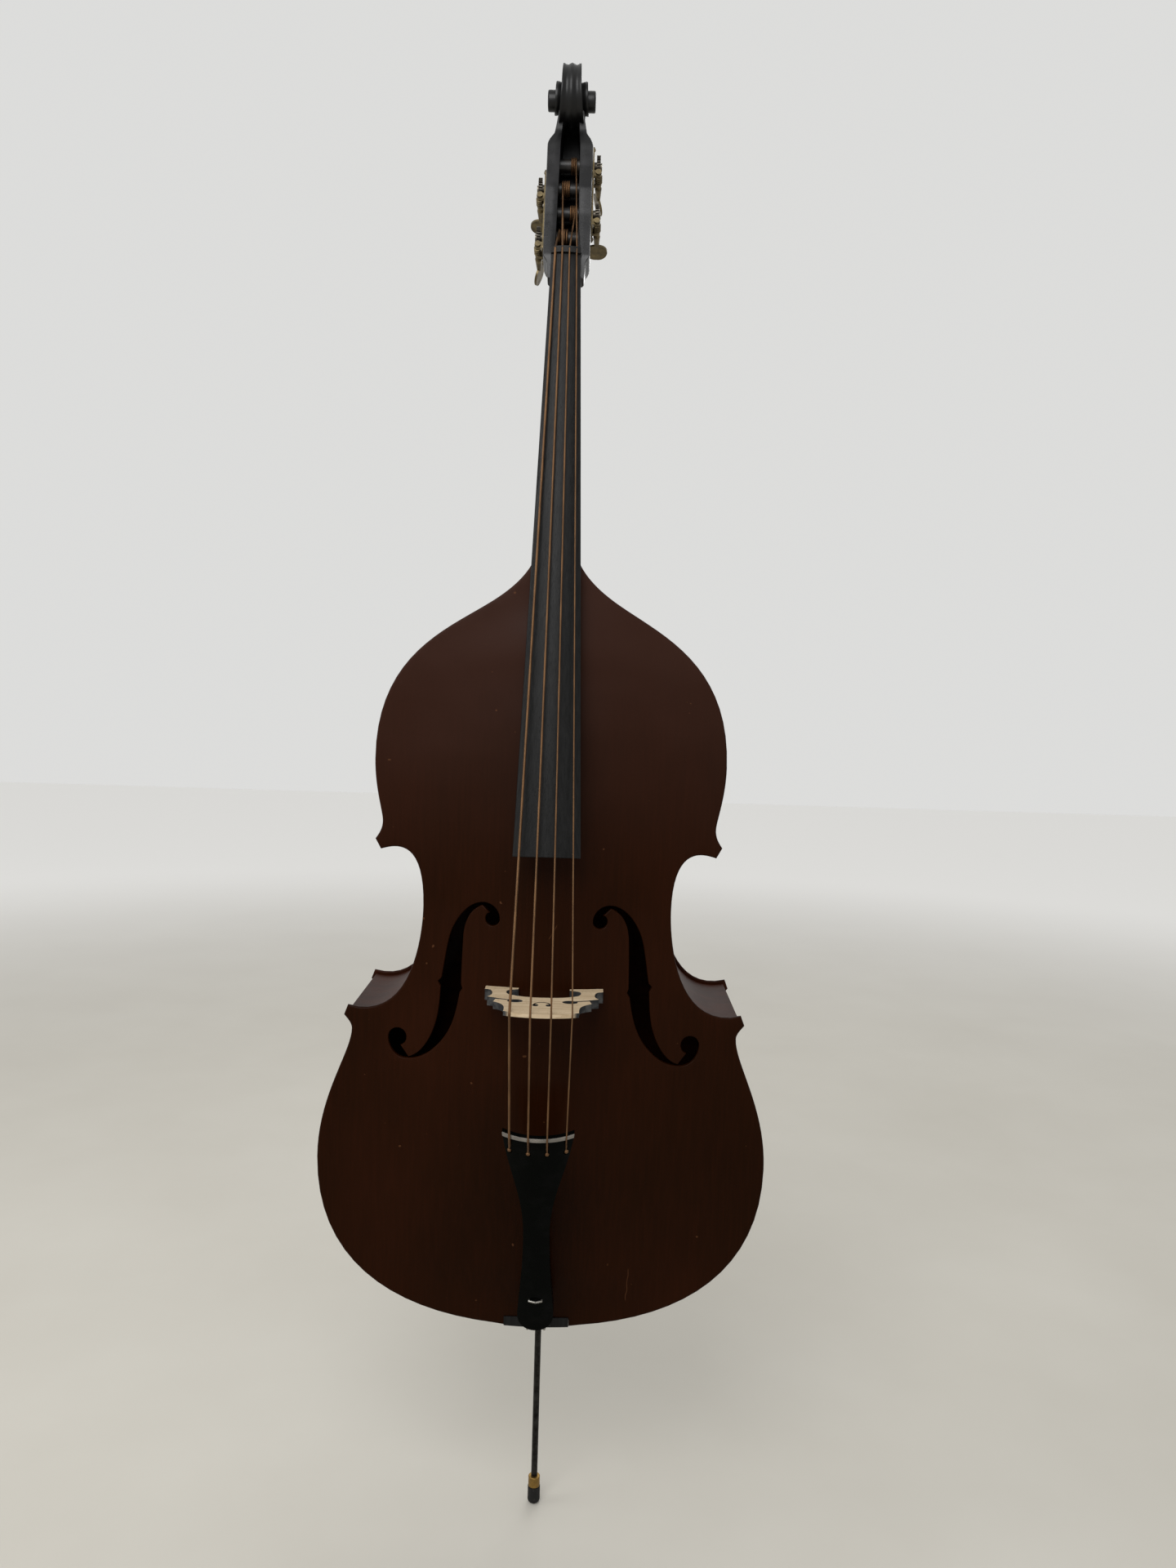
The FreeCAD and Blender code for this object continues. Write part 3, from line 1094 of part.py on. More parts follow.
def make_tailpiece():
    """Tailpiece, its fret, and the wire that ties it to the endpin."""
    right = tail_outline()
    left = [[(-x, z) for x, z in reversed(run)] for run in reversed(right)]
    face = closed_face(right + left)
    face.translate(Vector(0, -60.0, 0))
    blank = face.extrude(Vector(0, 100.0, 0))
    arch_bar = Part.makeCylinder(TAIL_RADIUS, TAILPIECE_LENGTH + 20.0,
                                 Vector(0, TAIL_RADIUS - TAILPIECE_THICKNESS, -10.0))
    hollow = Part.makeCylinder(TAIL_RADIUS - 8.0, TAILPIECE_LENGTH + 20.0,
                               Vector(0, TAIL_RADIUS - TAILPIECE_THICKNESS + 10.0, -10.0))
    tail = blank.common(arch_bar).cut(hollow.cut(box(-60, 60, -60, 200, -11, 60)))
    tail = tail.cut(box(-60.0, 60.0, 6.0, 200.0, -20.0, TAILPIECE_LENGTH + 20.0))
    groove = box(-60.0, 60.0, -60.0, 20.0, TAILPIECE_LENGTH - FRET_INSET - FRET_WIDTH,
                 TAILPIECE_LENGTH - FRET_INSET)
    shell = Part.makeCylinder(TAIL_RADIUS - 3.0, 400.0, Vector(0, TAIL_RADIUS - TAILPIECE_THICKNESS, -10.0))
    slope = Part.makeCone(TAIL_RADIUS - TAIL_END_DEEP, TAIL_RADIUS - TAIL_END_THIN, TAIL_END_LENGTH,
                          Vector(0, TAIL_RADIUS - TAILPIECE_THICKNESS, TAILPIECE_LENGTH - TAIL_END_LENGTH))
    tail = tail.cut(slope)
    fret_slot = groove.cut(shell)
    fret_round = Part.makeCylinder(TAIL_RADIUS + FRET_RISE, 400.0,
                                   Vector(0, TAIL_RADIUS - TAILPIECE_THICKNESS, -10.0))
    fret = blank.common(fret_slot).common(fret_round)
    tail = tail.cut(fret_slot)
    holes = []
    for name in STRING_RADII:
        x = tail_x(name)
        along = TAILPIECE_LENGTH - HOLES_BELOW_FRET
        holes.append(Part.makeCylinder(STRING_HOLE_RADIUS, 60.0, Vector(x, -40.0, along), Vector(0, 1, 0)))
        holes.append(box(x - STRING_RADII[name] - 0.5, x + STRING_RADII[name] + 0.5, -40.0, 40.0,
                         along, along + 19.0))
    for x in (-9.0, 9.0):
        holes.append(Part.makeCylinder(WIRE_RADIUS + 0.3, 60.0, Vector(x, -40.0, BOW_HEIGHT), Vector(0, 1, 0)))
    keep("tailpiece", on_tail(tail.cut(Part.makeCompound(holes))))
    keep("tailpiece_fret", on_tail(fret))
    make_tail_wire()


def wire_half():
    """Bends of the tail wire's right half, from the bow to the endpin."""
    over = RIM + SADDLE_HUMP + WIRE_RADIUS + 1.6
    front = -TAILPIECE_THICKNESS + rise(9.0, TAIL_RADIUS)
    return [tail_point(0.0, front - WIRE_RADIUS - 3.2, BOW_HEIGHT),
            tail_point(9.0, front - WIRE_RADIUS - 0.6, BOW_HEIGHT),
            tail_point(9.0, 9.0, BOW_HEIGHT),
            Vector(11.0, -over, BASE + 14.0),
            Vector(12.0, -over + 0.5, BASE + 1.0),
            Vector(13.0, -RIM - 4.0, BASE - WIRE_DROP),
            Vector(COLLAR_RADIUS + WIRE_RADIUS + GLUE_GAP, -24.0, BASE - WIRE_DROP),
            Vector(COLLAR_RADIUS + WIRE_RADIUS + GLUE_GAP, 0.0, BASE - WIRE_DROP)]


def make_tail_wire():
    """The wire: a bow over the tailpiece, two strands over the saddle, a loop below."""
    half = wire_half()
    shapes = []
    for start, finish in zip(half, half[1:]):
        shapes.append(Part.makeCylinder(WIRE_RADIUS, (finish - start).Length, start, finish - start))
    for bend in half[1:]:
        shapes.append(Part.makeSphere(WIRE_RADIUS, bend))
    side = fuse(shapes)
    loop = Part.makeTorus(COLLAR_RADIUS + WIRE_RADIUS + GLUE_GAP, WIRE_RADIUS,
                          Vector(0, 0, BASE - WIRE_DROP), Vector(0, 0, 1), -180, 180, 180)
    keep("tail_wire", fuse([side, mirrored(side), loop]))


# ---------------------------------------------------------------- endpin
def make_endpin():
    """Socket with its thumbscrew, sliding rod, ferrule and rubber foot."""
    seat = BASE + EDGE_OVERHANG - GLUE_GAP
    plug = Part.makeCylinder(PLUG_RADIUS - RUNNING_FIT, END_BLOCK_LENGTH + 6.0, Vector(0, 0, seat - 1.0))
    neck_ring = Part.makeCylinder(COLLAR_RADIUS - 3.0, 4.0, Vector(0, 0, seat - 7.0))
    upper = Part.makeCylinder(COLLAR_RADIUS, 8.0, Vector(0, 0, seat - 8.0))
    lower = Part.makeCone(COLLAR_RADIUS - 5.0, COLLAR_RADIUS, COLLAR_HEIGHT - 8.0, Vector(0, 0, seat - COLLAR_HEIGHT))
    bore = Part.makeCylinder(ROD_RADIUS + RUNNING_FIT, 200.0, Vector(0, 0, seat - 100.0))
    screw_z = seat - COLLAR_HEIGHT + 13.0
    thread = Part.makeCylinder(SCREW_RADIUS + RUNNING_FIT, 40.0, Vector(0, 0, screw_z), Vector(0, 1, 0))
    keep("endpin_socket", fuse([plug, upper, lower]).cut(bore).cut(thread))
    stem = Part.makeCylinder(SCREW_RADIUS, 24.0, Vector(0, ROD_RADIUS + 0.1, screw_z), Vector(0, 1, 0))
    boss = Part.makeCylinder(SCREW_RADIUS + 2.0, 7.0, Vector(0, COLLAR_RADIUS + 2.0, screw_z), Vector(0, 1, 0))
    wings = [Part.makeCylinder(WING_RADIUS * 0.62, 3.0, Vector(-1.5, COLLAR_RADIUS + 10.0, screw_z + side * 8.0),
                               Vector(1, 0, 0)) for side in (-1.0, 1.0)]
    keep("endpin_screw", fuse([stem, boss] + wings))
    rod_low = TIP_HEIGHT - 8.0
    keep("endpin_rod", Part.makeCylinder(ROD_RADIUS, BASE + ROD_INSIDE - rod_low, Vector(0, 0, rod_low)))
    pin = Part.makeCylinder(ROD_RADIUS, 400.0, Vector(0, 0, rod_low))
    ferrule = Part.makeCylinder(FERRULE_RADIUS, FERRULE_HEIGHT, Vector(0, 0, TIP_HEIGHT)).cut(pin)
    rims = [edge for edge in ferrule.Edges if abs(edge.BoundBox.XMax - FERRULE_RADIUS) < 0.01
            and edge.BoundBox.ZLength < 0.01]
    keep("endpin_ferrule", ferrule.makeFillet(1.2, rims))
    tip = Part.makeCylinder(TIP_RADIUS, TIP_HEIGHT)
    foot = [edge for edge in tip.Edges if edge.BoundBox.ZMax < 0.01 and edge.BoundBox.XLength > 1.0]
    keep("endpin_tip", tip.makeFillet(6.0, foot).cut(pin))


def main():
    """Makes every piece and writes it to its own file."""
    os.makedirs("parts", exist_ok=True)
    make_body()
    make_saddle()
    make_neck()
    make_fingerboard()
    make_nut()
    make_head(PIECES["neck"])
    make_machines()
    make_plate_screws()
    make_bridge(arch_surface(-1.0, RIM, TOP_ARCH))
    make_tailpiece()
    make_strings()
    make_endpin()
    for name, shape in sorted(PIECES.items()):
        shape.exportStep("parts/%s.step" % name)
        print("%-22s %2d solid(s) %10.1f cm3 valid=%s" % (name, len(shape.Solids), shape.Volume / 1000.0,
                                                     shape.isValid()))


main()
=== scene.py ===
# %% [markdown]
# # A four-string double bass
#
# The finished part is a full-size double bass that stands on its endpin.  A CAD program
# has already settled every solid, and this lesson dresses them: it gives each piece its
# finish, and puts finer surfaces in place of the pieces whose shape the eye reads first.
#
# The first step loads the packed CAD model.  Nothing in it is moved, so every piece that
# is added here is written in the same frame: metres, +Z up, -Y the front, the origin on
# the floor under the endpin's rubber foot.

# %% Load the frame
import math

import bmesh
import bpy
import numpy as np
from mathutils import Matrix, Vector


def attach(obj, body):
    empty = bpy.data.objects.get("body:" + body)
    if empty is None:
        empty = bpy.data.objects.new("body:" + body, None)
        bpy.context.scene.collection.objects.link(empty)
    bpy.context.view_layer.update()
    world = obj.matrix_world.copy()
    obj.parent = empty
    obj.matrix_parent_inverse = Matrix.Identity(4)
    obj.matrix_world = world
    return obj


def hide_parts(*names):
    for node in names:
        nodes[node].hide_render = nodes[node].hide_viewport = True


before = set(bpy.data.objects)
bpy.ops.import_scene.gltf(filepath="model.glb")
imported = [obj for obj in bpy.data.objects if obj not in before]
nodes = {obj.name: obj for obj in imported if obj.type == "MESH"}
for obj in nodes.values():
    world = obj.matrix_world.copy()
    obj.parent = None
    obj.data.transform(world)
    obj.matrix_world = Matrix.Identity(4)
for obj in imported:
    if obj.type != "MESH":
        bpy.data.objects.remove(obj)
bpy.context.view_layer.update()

# %% [markdown]
# ## The camera and the plain studio
#
# The bass is seen from the front at about breast height, with a lens of 27 mm.  The room
# is a pale floor, an even pale background and three large soft lamps, which keep the
# dark varnish readable without washing it out.

# %% The camera
CAMERA_PLACE = (0.0564, -1.7909, 1.3028)
CAMERA_RIGHT = (0.99956, 0.00399, 0.02940)
CAMERA_AHEAD = (-0.00159, 0.99670, -0.08118)
LENS = 27.04                        # mm, on a frame 36 mm high


def put_in_scene(name, data):
    """A new object for a camera, a lamp or a mesh, linked to the scene."""
    thing = bpy.data.objects.new(name, data)
    bpy.context.scene.collection.objects.link(thing)
    return thing


def look_from(place, right, forward, lens):
    """A camera at a place: right is squared up against forward, and above crosses both."""
    camera = put_in_scene("camera", bpy.data.cameras.new("camera"))
    ahead = Vector(forward).normalized()
    side = (Vector(right) - ahead * Vector(right).dot(ahead)).normalized()
    above = side.cross(ahead)
    turn = Matrix((side, above, -ahead)).transposed().to_4x4()
    camera.matrix_world = Matrix.Translation(place) @ turn
    camera.data.sensor_fit = "VERTICAL"
    camera.data.sensor_height = 36.0
    camera.data.lens = lens
    bpy.context.scene.camera = camera


look_from(CAMERA_PLACE, CAMERA_RIGHT, CAMERA_AHEAD, LENS)
bpy.context.scene.view_settings.view_transform = "Standard"
print("camera:", LENS, "mm lens,", -CAMERA_PLACE[1], "m in front of the bass")

# %% [markdown]
# A material in Blender is a graph of nodes, and its arithmetic reads badly when every
# sum is three lines of linking.  So one small class wraps a socket and overloads the
# operators: `0.2 + 0.5 * grain` then adds its Math nodes by itself.

# %% Shader arithmetic
class Level:
    """A number that changes over a surface: a node's output socket with its arithmetic."""

    def __init__(self, finish, socket):
        self.finish = finish
        self.socket = socket

    def math(self, operation, *others):
        return self.finish.node("ShaderNodeMath", {"operation": operation}, dict(enumerate(others)))

    def __add__(self, other):
        return self.math("ADD", self, other)

    def __mul__(self, other):
        return self.math("MULTIPLY", self, other)

    def __sub__(self, other):
        return self.math("SUBTRACT", self, other)

    def __rsub__(self, other):
        return self.math("SUBTRACT", other, self)

    __radd__ = __add__
    __rmul__ = __mul__

    def sine(self):
        return self.math("SINE", self)

    def size(self):
        return self.math("ABSOLUTE", self)

    def between(self, low, high):
        """0 below low, 1 above high, and a smooth step between."""
        settings = {"interpolation_type": "SMOOTHSTEP"}
        values = {"Value": self, "From Min": low, "From Max": high}
        return self.finish.node("ShaderNodeMapRange", settings, values)


print("a level's methods:", [name for name in vars(Level) if not name.startswith("__")])

# %% [markdown]
# A second class holds one finish: a material with its shader, and the one method that
# adds any other node.  Noise, a coordinate, a blend of two colours and a bump are that
# method with the right settings.  Every pattern reads Object coordinates: all pieces have
# their origin in one place, so a pattern runs on from one piece to the next.

# %% A finish
class Finish:
    """One finish: a material with a Principled shader, and a method that adds a node."""

    def __init__(self, name, **constants):
        self.material = bpy.data.materials.new(name)
        self.material.use_nodes = True
        self.tree = self.material.node_tree
        self.shader = self.tree.nodes["Principled BSDF"]
        for socket, value in constants.items():
            title = socket.replace("_", " ").title().replace("Ior", "IOR")
            self.shader.inputs[title].default_value = value
        self.place = self.node("ShaderNodeTexCoord", {}, {}, "Object")

    def node(self, kind, settings, values, output=0):
        """Adds a node: its type, its settings, the values or links of its sockets."""
        added = self.tree.nodes.new(kind)
        for name, setting in settings.items():
            setattr(added, name, setting)
        for socket, value in values.items():
            if isinstance(value, Level):
                self.tree.links.new(value.socket, added.inputs[socket])
            else:
                added.inputs[socket].default_value = value
        return Level(self, added.outputs[output])

    def noise(self, scale, stretch=(1.0, 1.0, 1.0), detail=3.0, roughness=0.55):
        """Cloudy noise, scale in blobs a metre, drawn out where a stretch is below 1."""
        spread = self.node("ShaderNodeMapping", {}, {"Vector": self.place, "Scale": stretch})
        values = {"Vector": spread, "Scale": scale, "Detail": detail, "Roughness": roughness}
        return self.node("ShaderNodeTexNoise", {}, values)

    def axis(self, letter, source="Object"):
        """One coordinate of the place, or of the surface's direction with "Normal"."""
        vector = self.node("ShaderNodeTexCoord", {}, {}, source)
        return self.node("ShaderNodeSeparateXYZ", {}, {0: vector}, "XYZ".index(letter))

    def blend(self, share, first, second):
        """From the first colour to the second as the share goes from 0 to 1."""
        values = {0: share, 6: first, 7: second}
        return self.node("ShaderNodeMix", {"data_type": "RGBA"}, values, 2)

    def feed(self, socket, level):
        """Drives one of the shader's own sockets."""
        self.tree.links.new(level.socket, self.shader.inputs[socket])

    def relief(self, height, depth, strength=1.0):
        """Bumps the surface by a height from 0 to 1, depth in metres."""
        values = {"Height": height, "Distance": depth, "Strength": strength}
        self.feed("Normal", self.node("ShaderNodeBump", {}, values))


def paint(red, green, blue):
    """A colour from its everyday 0-255 values, as light."""
    shares = np.array([red, green, blue]) / 255.0
    light = np.where(shares <= 0.04045, shares / 12.92, ((shares + 0.055) / 1.055) ** 2.4)
    return (*light, 1.0)


print("paint(255, 128, 0) =", [round(float(v), 3) for v in paint(255, 128, 0)])

# %% [markdown]
# The background is the world itself.  The Light Path node shows one even pale tone to the
# camera, and to everything glossy or clear, so that metal mirrors the same background.
# The light that reaches the surfaces comes from a soft room: bright above and behind,
# quieter in front and low down.

# %% The room's light
ROOM_TONE = 0.72                    # what the camera and mirrors see; 1 is white
LIGHT_RAMPS = (("Z", -0.2, 0.9, 0.22, 0.75),    # axis, from, to, light there and there
               ("Y", -0.2, 0.8, 0.0, 0.3))


def light_room():
    """The world: one pale tone to look at and to mirror, a soft room to be lit by."""
    world = bpy.data.worlds.new("room")
    bpy.context.scene.world = world
    world.use_nodes = True
    tree = world.node_tree
    shade = tree.nodes["Background"]
    way = tree.nodes.new("ShaderNodeTexCoord")
    split = tree.nodes.new("ShaderNodeSeparateXYZ")
    tree.links.new(way.outputs["Generated"], split.inputs[0])
    tones = []
    for axis, *ends in LIGHT_RAMPS:
        ramp = tree.nodes.new("ShaderNodeMapRange")
        ramp.interpolation_type = "SMOOTHSTEP"
        tree.links.new(split.outputs[axis], ramp.inputs["Value"])
        for socket, value in zip(("From Min", "From Max", "To Min", "To Max"), ends):
            ramp.inputs[socket].default_value = value
        tones.append(ramp.outputs[0])
    total = tree.nodes.new("ShaderNodeMath")
    tree.links.new(tones[0], total.inputs[0])
    tree.links.new(tones[1], total.inputs[1])
    path = tree.nodes.new("ShaderNodeLightPath")
    seen = path.outputs["Is Camera Ray"]
    for kind in ("Is Glossy Ray", "Is Transmission Ray"):
        either = tree.nodes.new("ShaderNodeMath")
        either.operation = "MAXIMUM"
        tree.links.new(seen, either.inputs[0])
        tree.links.new(path.outputs[kind], either.inputs[1])
        seen = either.outputs[0]
    choice = tree.nodes.new("ShaderNodeMix")
    tree.links.new(seen, choice.inputs[0])
    tree.links.new(total.outputs[0], choice.inputs[2])
    choice.inputs[3].default_value = ROOM_TONE
    tree.links.new(choice.outputs[0], shade.inputs["Strength"])
    shade.inputs["Color"].default_value = (1.0, 1.0, 0.985, 1.0)


def hang_lamp(name, place, aim, size, watts):
    """A square soft lamp at a place, turned towards the aim."""
    lamp = put_in_scene(name, bpy.data.lights.new(name, "AREA"))
    lamp.data.shape = "SQUARE"
    lamp.data.size = size
    lamp.data.energy = watts
    lamp.location = place
    lamp.rotation_euler = (Vector(aim) - Vector(place)).to_track_quat("-Z", "Y").to_euler()


light_room()
hang_lamp("key_lamp", (-0.7, -2.6, 3.3), (0.0, 0.0, 1.2), 2.2, 78.0)
hang_lamp("side_lamp", (-3.0, -0.4, 2.4), (0.0, 0.0, 1.0), 1.6, 22.0)
hang_lamp("back_lamp", (0.6, 2.8, 3.6), (0.0, 0.0, 1.3), 1.8, 35.0)

# %% [markdown]
# Next come the finishes.  Each is a function, so that it can be read by itself.
# The varnish is the one that matters most: a very dark red-brown, almost black at a
# glance, with long quiet grain, a slightly uneven thickness and a soft gloss.

# %% Varnished wood
SCARS = ((0.133, 0.425, 0.028, 0.04), (0.010, 0.955, 0.011, 0.6))
SCAR_INSIDE, SCAR_OUTSIDE = 0.0003, 0.0007      # half widths: wholly bare, and untouched
PAINTED_SHEEN_LOW, PAINTED_SHEEN_HIGH = 0.98, 1.44                # heights where the painted sheen sets in and is full
BARE_WOOD = paint(112, 74, 48)


def scarred(finish):
    """1 along a few thin scratches (x, height, half length, lean) through the varnish."""
    x, height = finish.axis("X"), finish.axis("Z")
    wander = (finish.noise(60.0, detail=1.0) - 0.5) * 0.005
    marks = 0.0
    for place, level, reach, lean in SCARS:
        across = ((x - place) - (height - level) * lean + wander).size()
        along = (height - level).size()
        bare = 1.0 - across.between(SCAR_INSIDE, SCAR_OUTSIDE)
        marks = bare * (1.0 - along.between(0.8 * reach, reach)) + marks
    return marks


def varnish(name, dark, light, sheen_colour, streak, figure):
    """Brown varnish over long-grained wood.

    Grain is noise stretched twenty times along the height; cloud is broad noise that
    shows where the varnish lies thicker; figure adds faint bars across the grain.  The
    painted sheen is a paler, greyer colour over the upper bouts, broken up by broad noise:
    painted light, standing in for the lamps' light that falls and reflects there more.
    """
    finish = Finish(name, specular_ior_level=0.035, coat_weight=0.02, coat_roughness=0.15)
    grain = finish.noise(260.0, (1.0, 1.0, 0.05))
    cloud = finish.noise(4.0, (1.0, 1.0, 0.6))
    bars = finish.noise(70.0, (0.25, 0.6, 1.0), 1.0)
    tone = cloud.between(0.3, 0.7) * 0.6 + grain.between(0.3, 0.8) * streak
    tone = tone + bars.between(0.35, 0.7) * figure
    # painted sheen: the upper bouts are painted paler and greyer, standing in for the light reflected
    # there
    sheen_patches = 0.45 + 1.1 * finish.noise(5.0, (1.0, 1.0, 1.6), 2.0)
    painted_sheen = finish.axis("Z").between(PAINTED_SHEEN_LOW, PAINTED_SHEEN_HIGH) * sheen_patches
    colour = finish.blend(painted_sheen, finish.blend(tone, dark, light), sheen_colour)
    speck = finish.noise(95.0, detail=1.0).between(0.79, 0.82)
    worn = speck * 0.35 + scarred(finish) * 0.3
    finish.feed("Base Color", finish.blend(worn, colour, BARE_WOOD))
    finish.feed("Roughness", 0.27 + 0.12 * cloud + 0.1 * grain)
    finish.relief(grain * 0.5 + finish.noise(9.0) * 3.0, 0.0006, 0.35)
    return finish.material


FINISHES = {}
FINISHES["varnish_front"] = varnish("varnish_front", paint(26, 9, 1), paint(41, 16, 4),
                                    paint(52, 32, 25), streak=0.3, figure=0.0)
FINISHES["varnish_body"] = varnish("varnish_body", paint(30, 12, 5), paint(58, 26, 12),
                                   paint(52, 32, 24), streak=0.2, figure=0.35)
FINISHES["neck_wood"] = varnish("neck_varnish", paint(34, 17, 9), paint(56, 31, 19),
                                paint(50, 32, 24), streak=0.3, figure=0.1)
print("varnishes:", sorted(FINISHES))

# %% [markdown]
# The fingerboard is ebony, the bridge is bare maple, and the head is lacquered black.
# Bare wood needs its pores, which are the same noise as the grain drawn out much finer.
# The stain on the bridge's walls could be painted by hand, but each wall is known by the
# way that it faces, so the surface's own direction masks it.

# %% Bare, stained and lacquered wood
CROWN_FRONT, CROWN_BACK = -0.246, -0.243        # Y of the bridge's edge under the strings
SCROLL_SHADE_LOW, SCROLL_SHADE_HIGH = 2.080, 2.105          # heights where the painted shade on the head sets in and is full


def plain_wood(name, dark, light, rough, pores=0.4, gloss=0.3):
    """Wood without thick varnish: grain along the height with fine dark pores."""
    finish = Finish(name, roughness=rough, specular_ior_level=gloss)
    grain = finish.noise(320.0, (1.0, 1.0, 0.04))
    pore = finish.noise(1400.0, (1.0, 1.0, 0.03), 1.0).between(0.55, 0.75)
    tone = grain.between(0.25, 0.75) - pore * pores
    finish.feed("Base Color", finish.blend(tone, dark, light))
    finish.feed("Roughness", rough - 0.08 + 0.16 * finish.noise(40.0, (1.0, 1.0, 0.2)))
    finish.relief(grain - pore, 0.0003, 0.4)
    return finish.material


def bridge_wood(name):
    """Pale maple with fleck, and dark stain on the walls where it was cut to shape.

    The two flat faces look up and down the strings, so a wall is where the surface looks
    another way.  The crown under the strings was dressed last and is pale again.
    """
    finish = Finish(name, roughness=0.55, specular_ior_level=0.2)
    grain = finish.noise(300.0, (0.06, 1.0, 1.0))
    fleck = finish.noise(420.0, (1.0, 0.35, 1.0), 1.0).between(0.6, 0.72)
    tone = grain.between(0.25, 0.75) * 0.8 - fleck * 0.35
    pale = finish.blend(tone, paint(172, 150, 120), paint(206, 187, 158))
    wall = 1.0 - finish.axis("Z", "Normal").size().between(0.35, 0.65)
    wall = wall * finish.axis("Y").between(CROWN_FRONT, CROWN_BACK)
    soot = finish.blend(finish.noise(90.0).between(0.4, 0.7), paint(30, 31, 33), paint(66, 66, 66))
    finish.feed("Base Color", finish.blend(wall, pale, soot))
    finish.relief(grain, 0.0003, 0.4)
    return finish.material


def lacquer(name, colour, worn, rough, gloss):
    """Black lacquer: smooth, with small dents, dust in the gloss and patches worn grey.

    From the throat up the lacquer is painted nearly black and made rougher: painted shade over the throat
    and the scroll.
    """
    finish = Finish(name, specular_ior_level=gloss, coat_weight=0.1 * gloss, coat_roughness=0.1)
    cloud = finish.noise(35.0)
    dust = finish.noise(420.0, detail=1.0).between(0.66, 0.76)
    # painted shade: the lacquer on the throat and the scroll above it is darkened, standing in for the
    # shade round the scroll
    scroll_shade = finish.axis("Z").between(SCROLL_SHADE_LOW, SCROLL_SHADE_HIGH)
    grey = finish.blend(cloud.between(0.45, 0.75) * 0.7 + dust * 0.25, colour, worn)
    finish.feed("Base Color", finish.blend(scroll_shade * 0.8, grey, paint(3, 3, 3)))
    finish.feed("Roughness", rough + 0.14 * cloud + 0.15 * dust + 0.12 * scroll_shade)
    finish.relief(finish.noise(60.0), 0.0005, 0.3)
    return finish.material


FINISHES["inner_wood"] = plain_wood("inner_wood", paint(120, 86, 52), paint(168, 128, 84), 0.75)
FINISHES["ebony"] = plain_wood("ebony", paint(15, 15, 15), paint(26, 26, 26), 0.4, 0.5, 0.14)
FINISHES["maple"] = bridge_wood("maple")
FINISHES["black_lacquer"] = lacquer("black_lacquer", paint(12, 12, 14), paint(38, 37, 39), 0.2, 0.3)
FINISHES["black_gloss"] = lacquer("black_gloss", paint(2, 3, 2), paint(9, 9, 9), 0.2, 0.035)
FINISHES["black_peg"] = lacquer("black_peg", paint(18, 17, 17), paint(52, 46, 40), 0.3, 0.3)
FINISHES["grey_fret"] = lacquer("grey_fret", paint(108, 103, 96), paint(146, 140, 131), 0.42, 0.3)
print("finishes so far:", len(FINISHES))

# %% [markdown]
# The tuners are old brass and steel, the endpin a blackened steel rod with a brass
# ferrule and a rubber foot.  Tarnish is a film: where it lies, the metal is darker,
# rougher and mirrors less, so one cloud of noise drives all three.

# %% Metals and rubber
def metal(name, clean, tarnished, rough, spread=0.3):
    """Metal that has aged: clean metal between clouds of darker, rougher tarnish."""
    finish = Finish(name)
    cloud = finish.noise(90.0, detail=5.0, roughness=0.65)
    film = cloud.between(0.5 - spread, 0.5 + spread)
    finish.feed("Base Color", finish.blend(film, clean, tarnished))
    finish.feed("Metallic", 1.0 - 0.35 * film)
    finish.feed("Roughness", rough + 0.22 * film)
    finish.relief(cloud, 0.0003, 0.35)
    return finish.material


def rubber(name, colour, dusty):
    """Black rubber, matt and finely pitted, with clouds of floor dust."""
    finish = Finish(name, specular_ior_level=0.3)
    cloud = finish.noise(180.0, detail=4.0)
    finish.feed("Base Color", finish.blend(cloud.between(0.45, 0.8), colour, dusty))
    finish.feed("Roughness", 0.62 + 0.2 * cloud)
    finish.relief(finish.noise(900.0), 0.0003, 0.5)
    return finish.material


FINISHES["steel_wire"] = metal("steel_wire", paint(170, 168, 162), paint(110, 106, 98), 0.25)
FINISHES["black_steel"] = metal("black_steel", paint(20, 19, 18), paint(42, 40, 37), 0.28, 0.25)
FINISHES["brass"] = metal("brass", paint(158, 126, 66), paint(104, 80, 40), 0.3)
FINISHES["aged_brass"] = metal("aged_brass", paint(122, 108, 78), paint(66, 58, 44), 0.34)
FINISHES["aged_steel"] = metal("aged_steel", paint(104, 98, 88), paint(46, 42, 38), 0.34)
FINISHES["screw_steel"] = metal("screw_steel", paint(150, 145, 134), paint(88, 80, 66), 0.3)
FINISHES["rubber"] = rubber("rubber", paint(14, 14, 14), paint(44, 42, 39))
print("finishes so far:", len(FINISHES))

# %% [markdown]
# A bass string is a rope of steel wound with fine metal tape.  The winding is far too
# fine to model, so it is a bump: a sine along the string's own line, which also paints
# shade into the grooves between the turns.  All four strings lean back by nearly the
# same angle, so one direction serves them all.

# %% Wound strings
STRING_LEAN = math.radians(10.32)
TAPE_PITCH = 0.0011


def wound(name, bright, deep):
    """Copper-coloured tape wound round a core: ribs across the string, worn in places, with painted shade
    darkening the grooves between the turns.
    """
    finish = Finish(name, metallic=0.9)
    along = (0.0, math.sin(STRING_LEAN) / TAPE_PITCH, math.cos(STRING_LEAN) / TAPE_PITCH)
    sockets = {0: finish.place, 1: along}
    turns = finish.node("ShaderNodeVectorMath", {"operation": "DOT_PRODUCT"}, sockets, 1)
    rib_relief_and_shade = (turns * math.tau).sine() * 0.5 + 0.5
    wear = finish.noise(24.0, (3.0, 3.0, 1.0)).between(0.35, 0.7)
    # painted shade: the colour darkens in the grooves between the tape's turns
    finish.feed("Base Color", finish.blend(rib_relief_and_shade * 0.55 + wear * 0.3, deep, bright))
    finish.feed("Roughness", 0.34 + 0.2 * wear)
    finish.relief(rib_relief_and_shade, 0.0002, 0.6)
    return finish.material


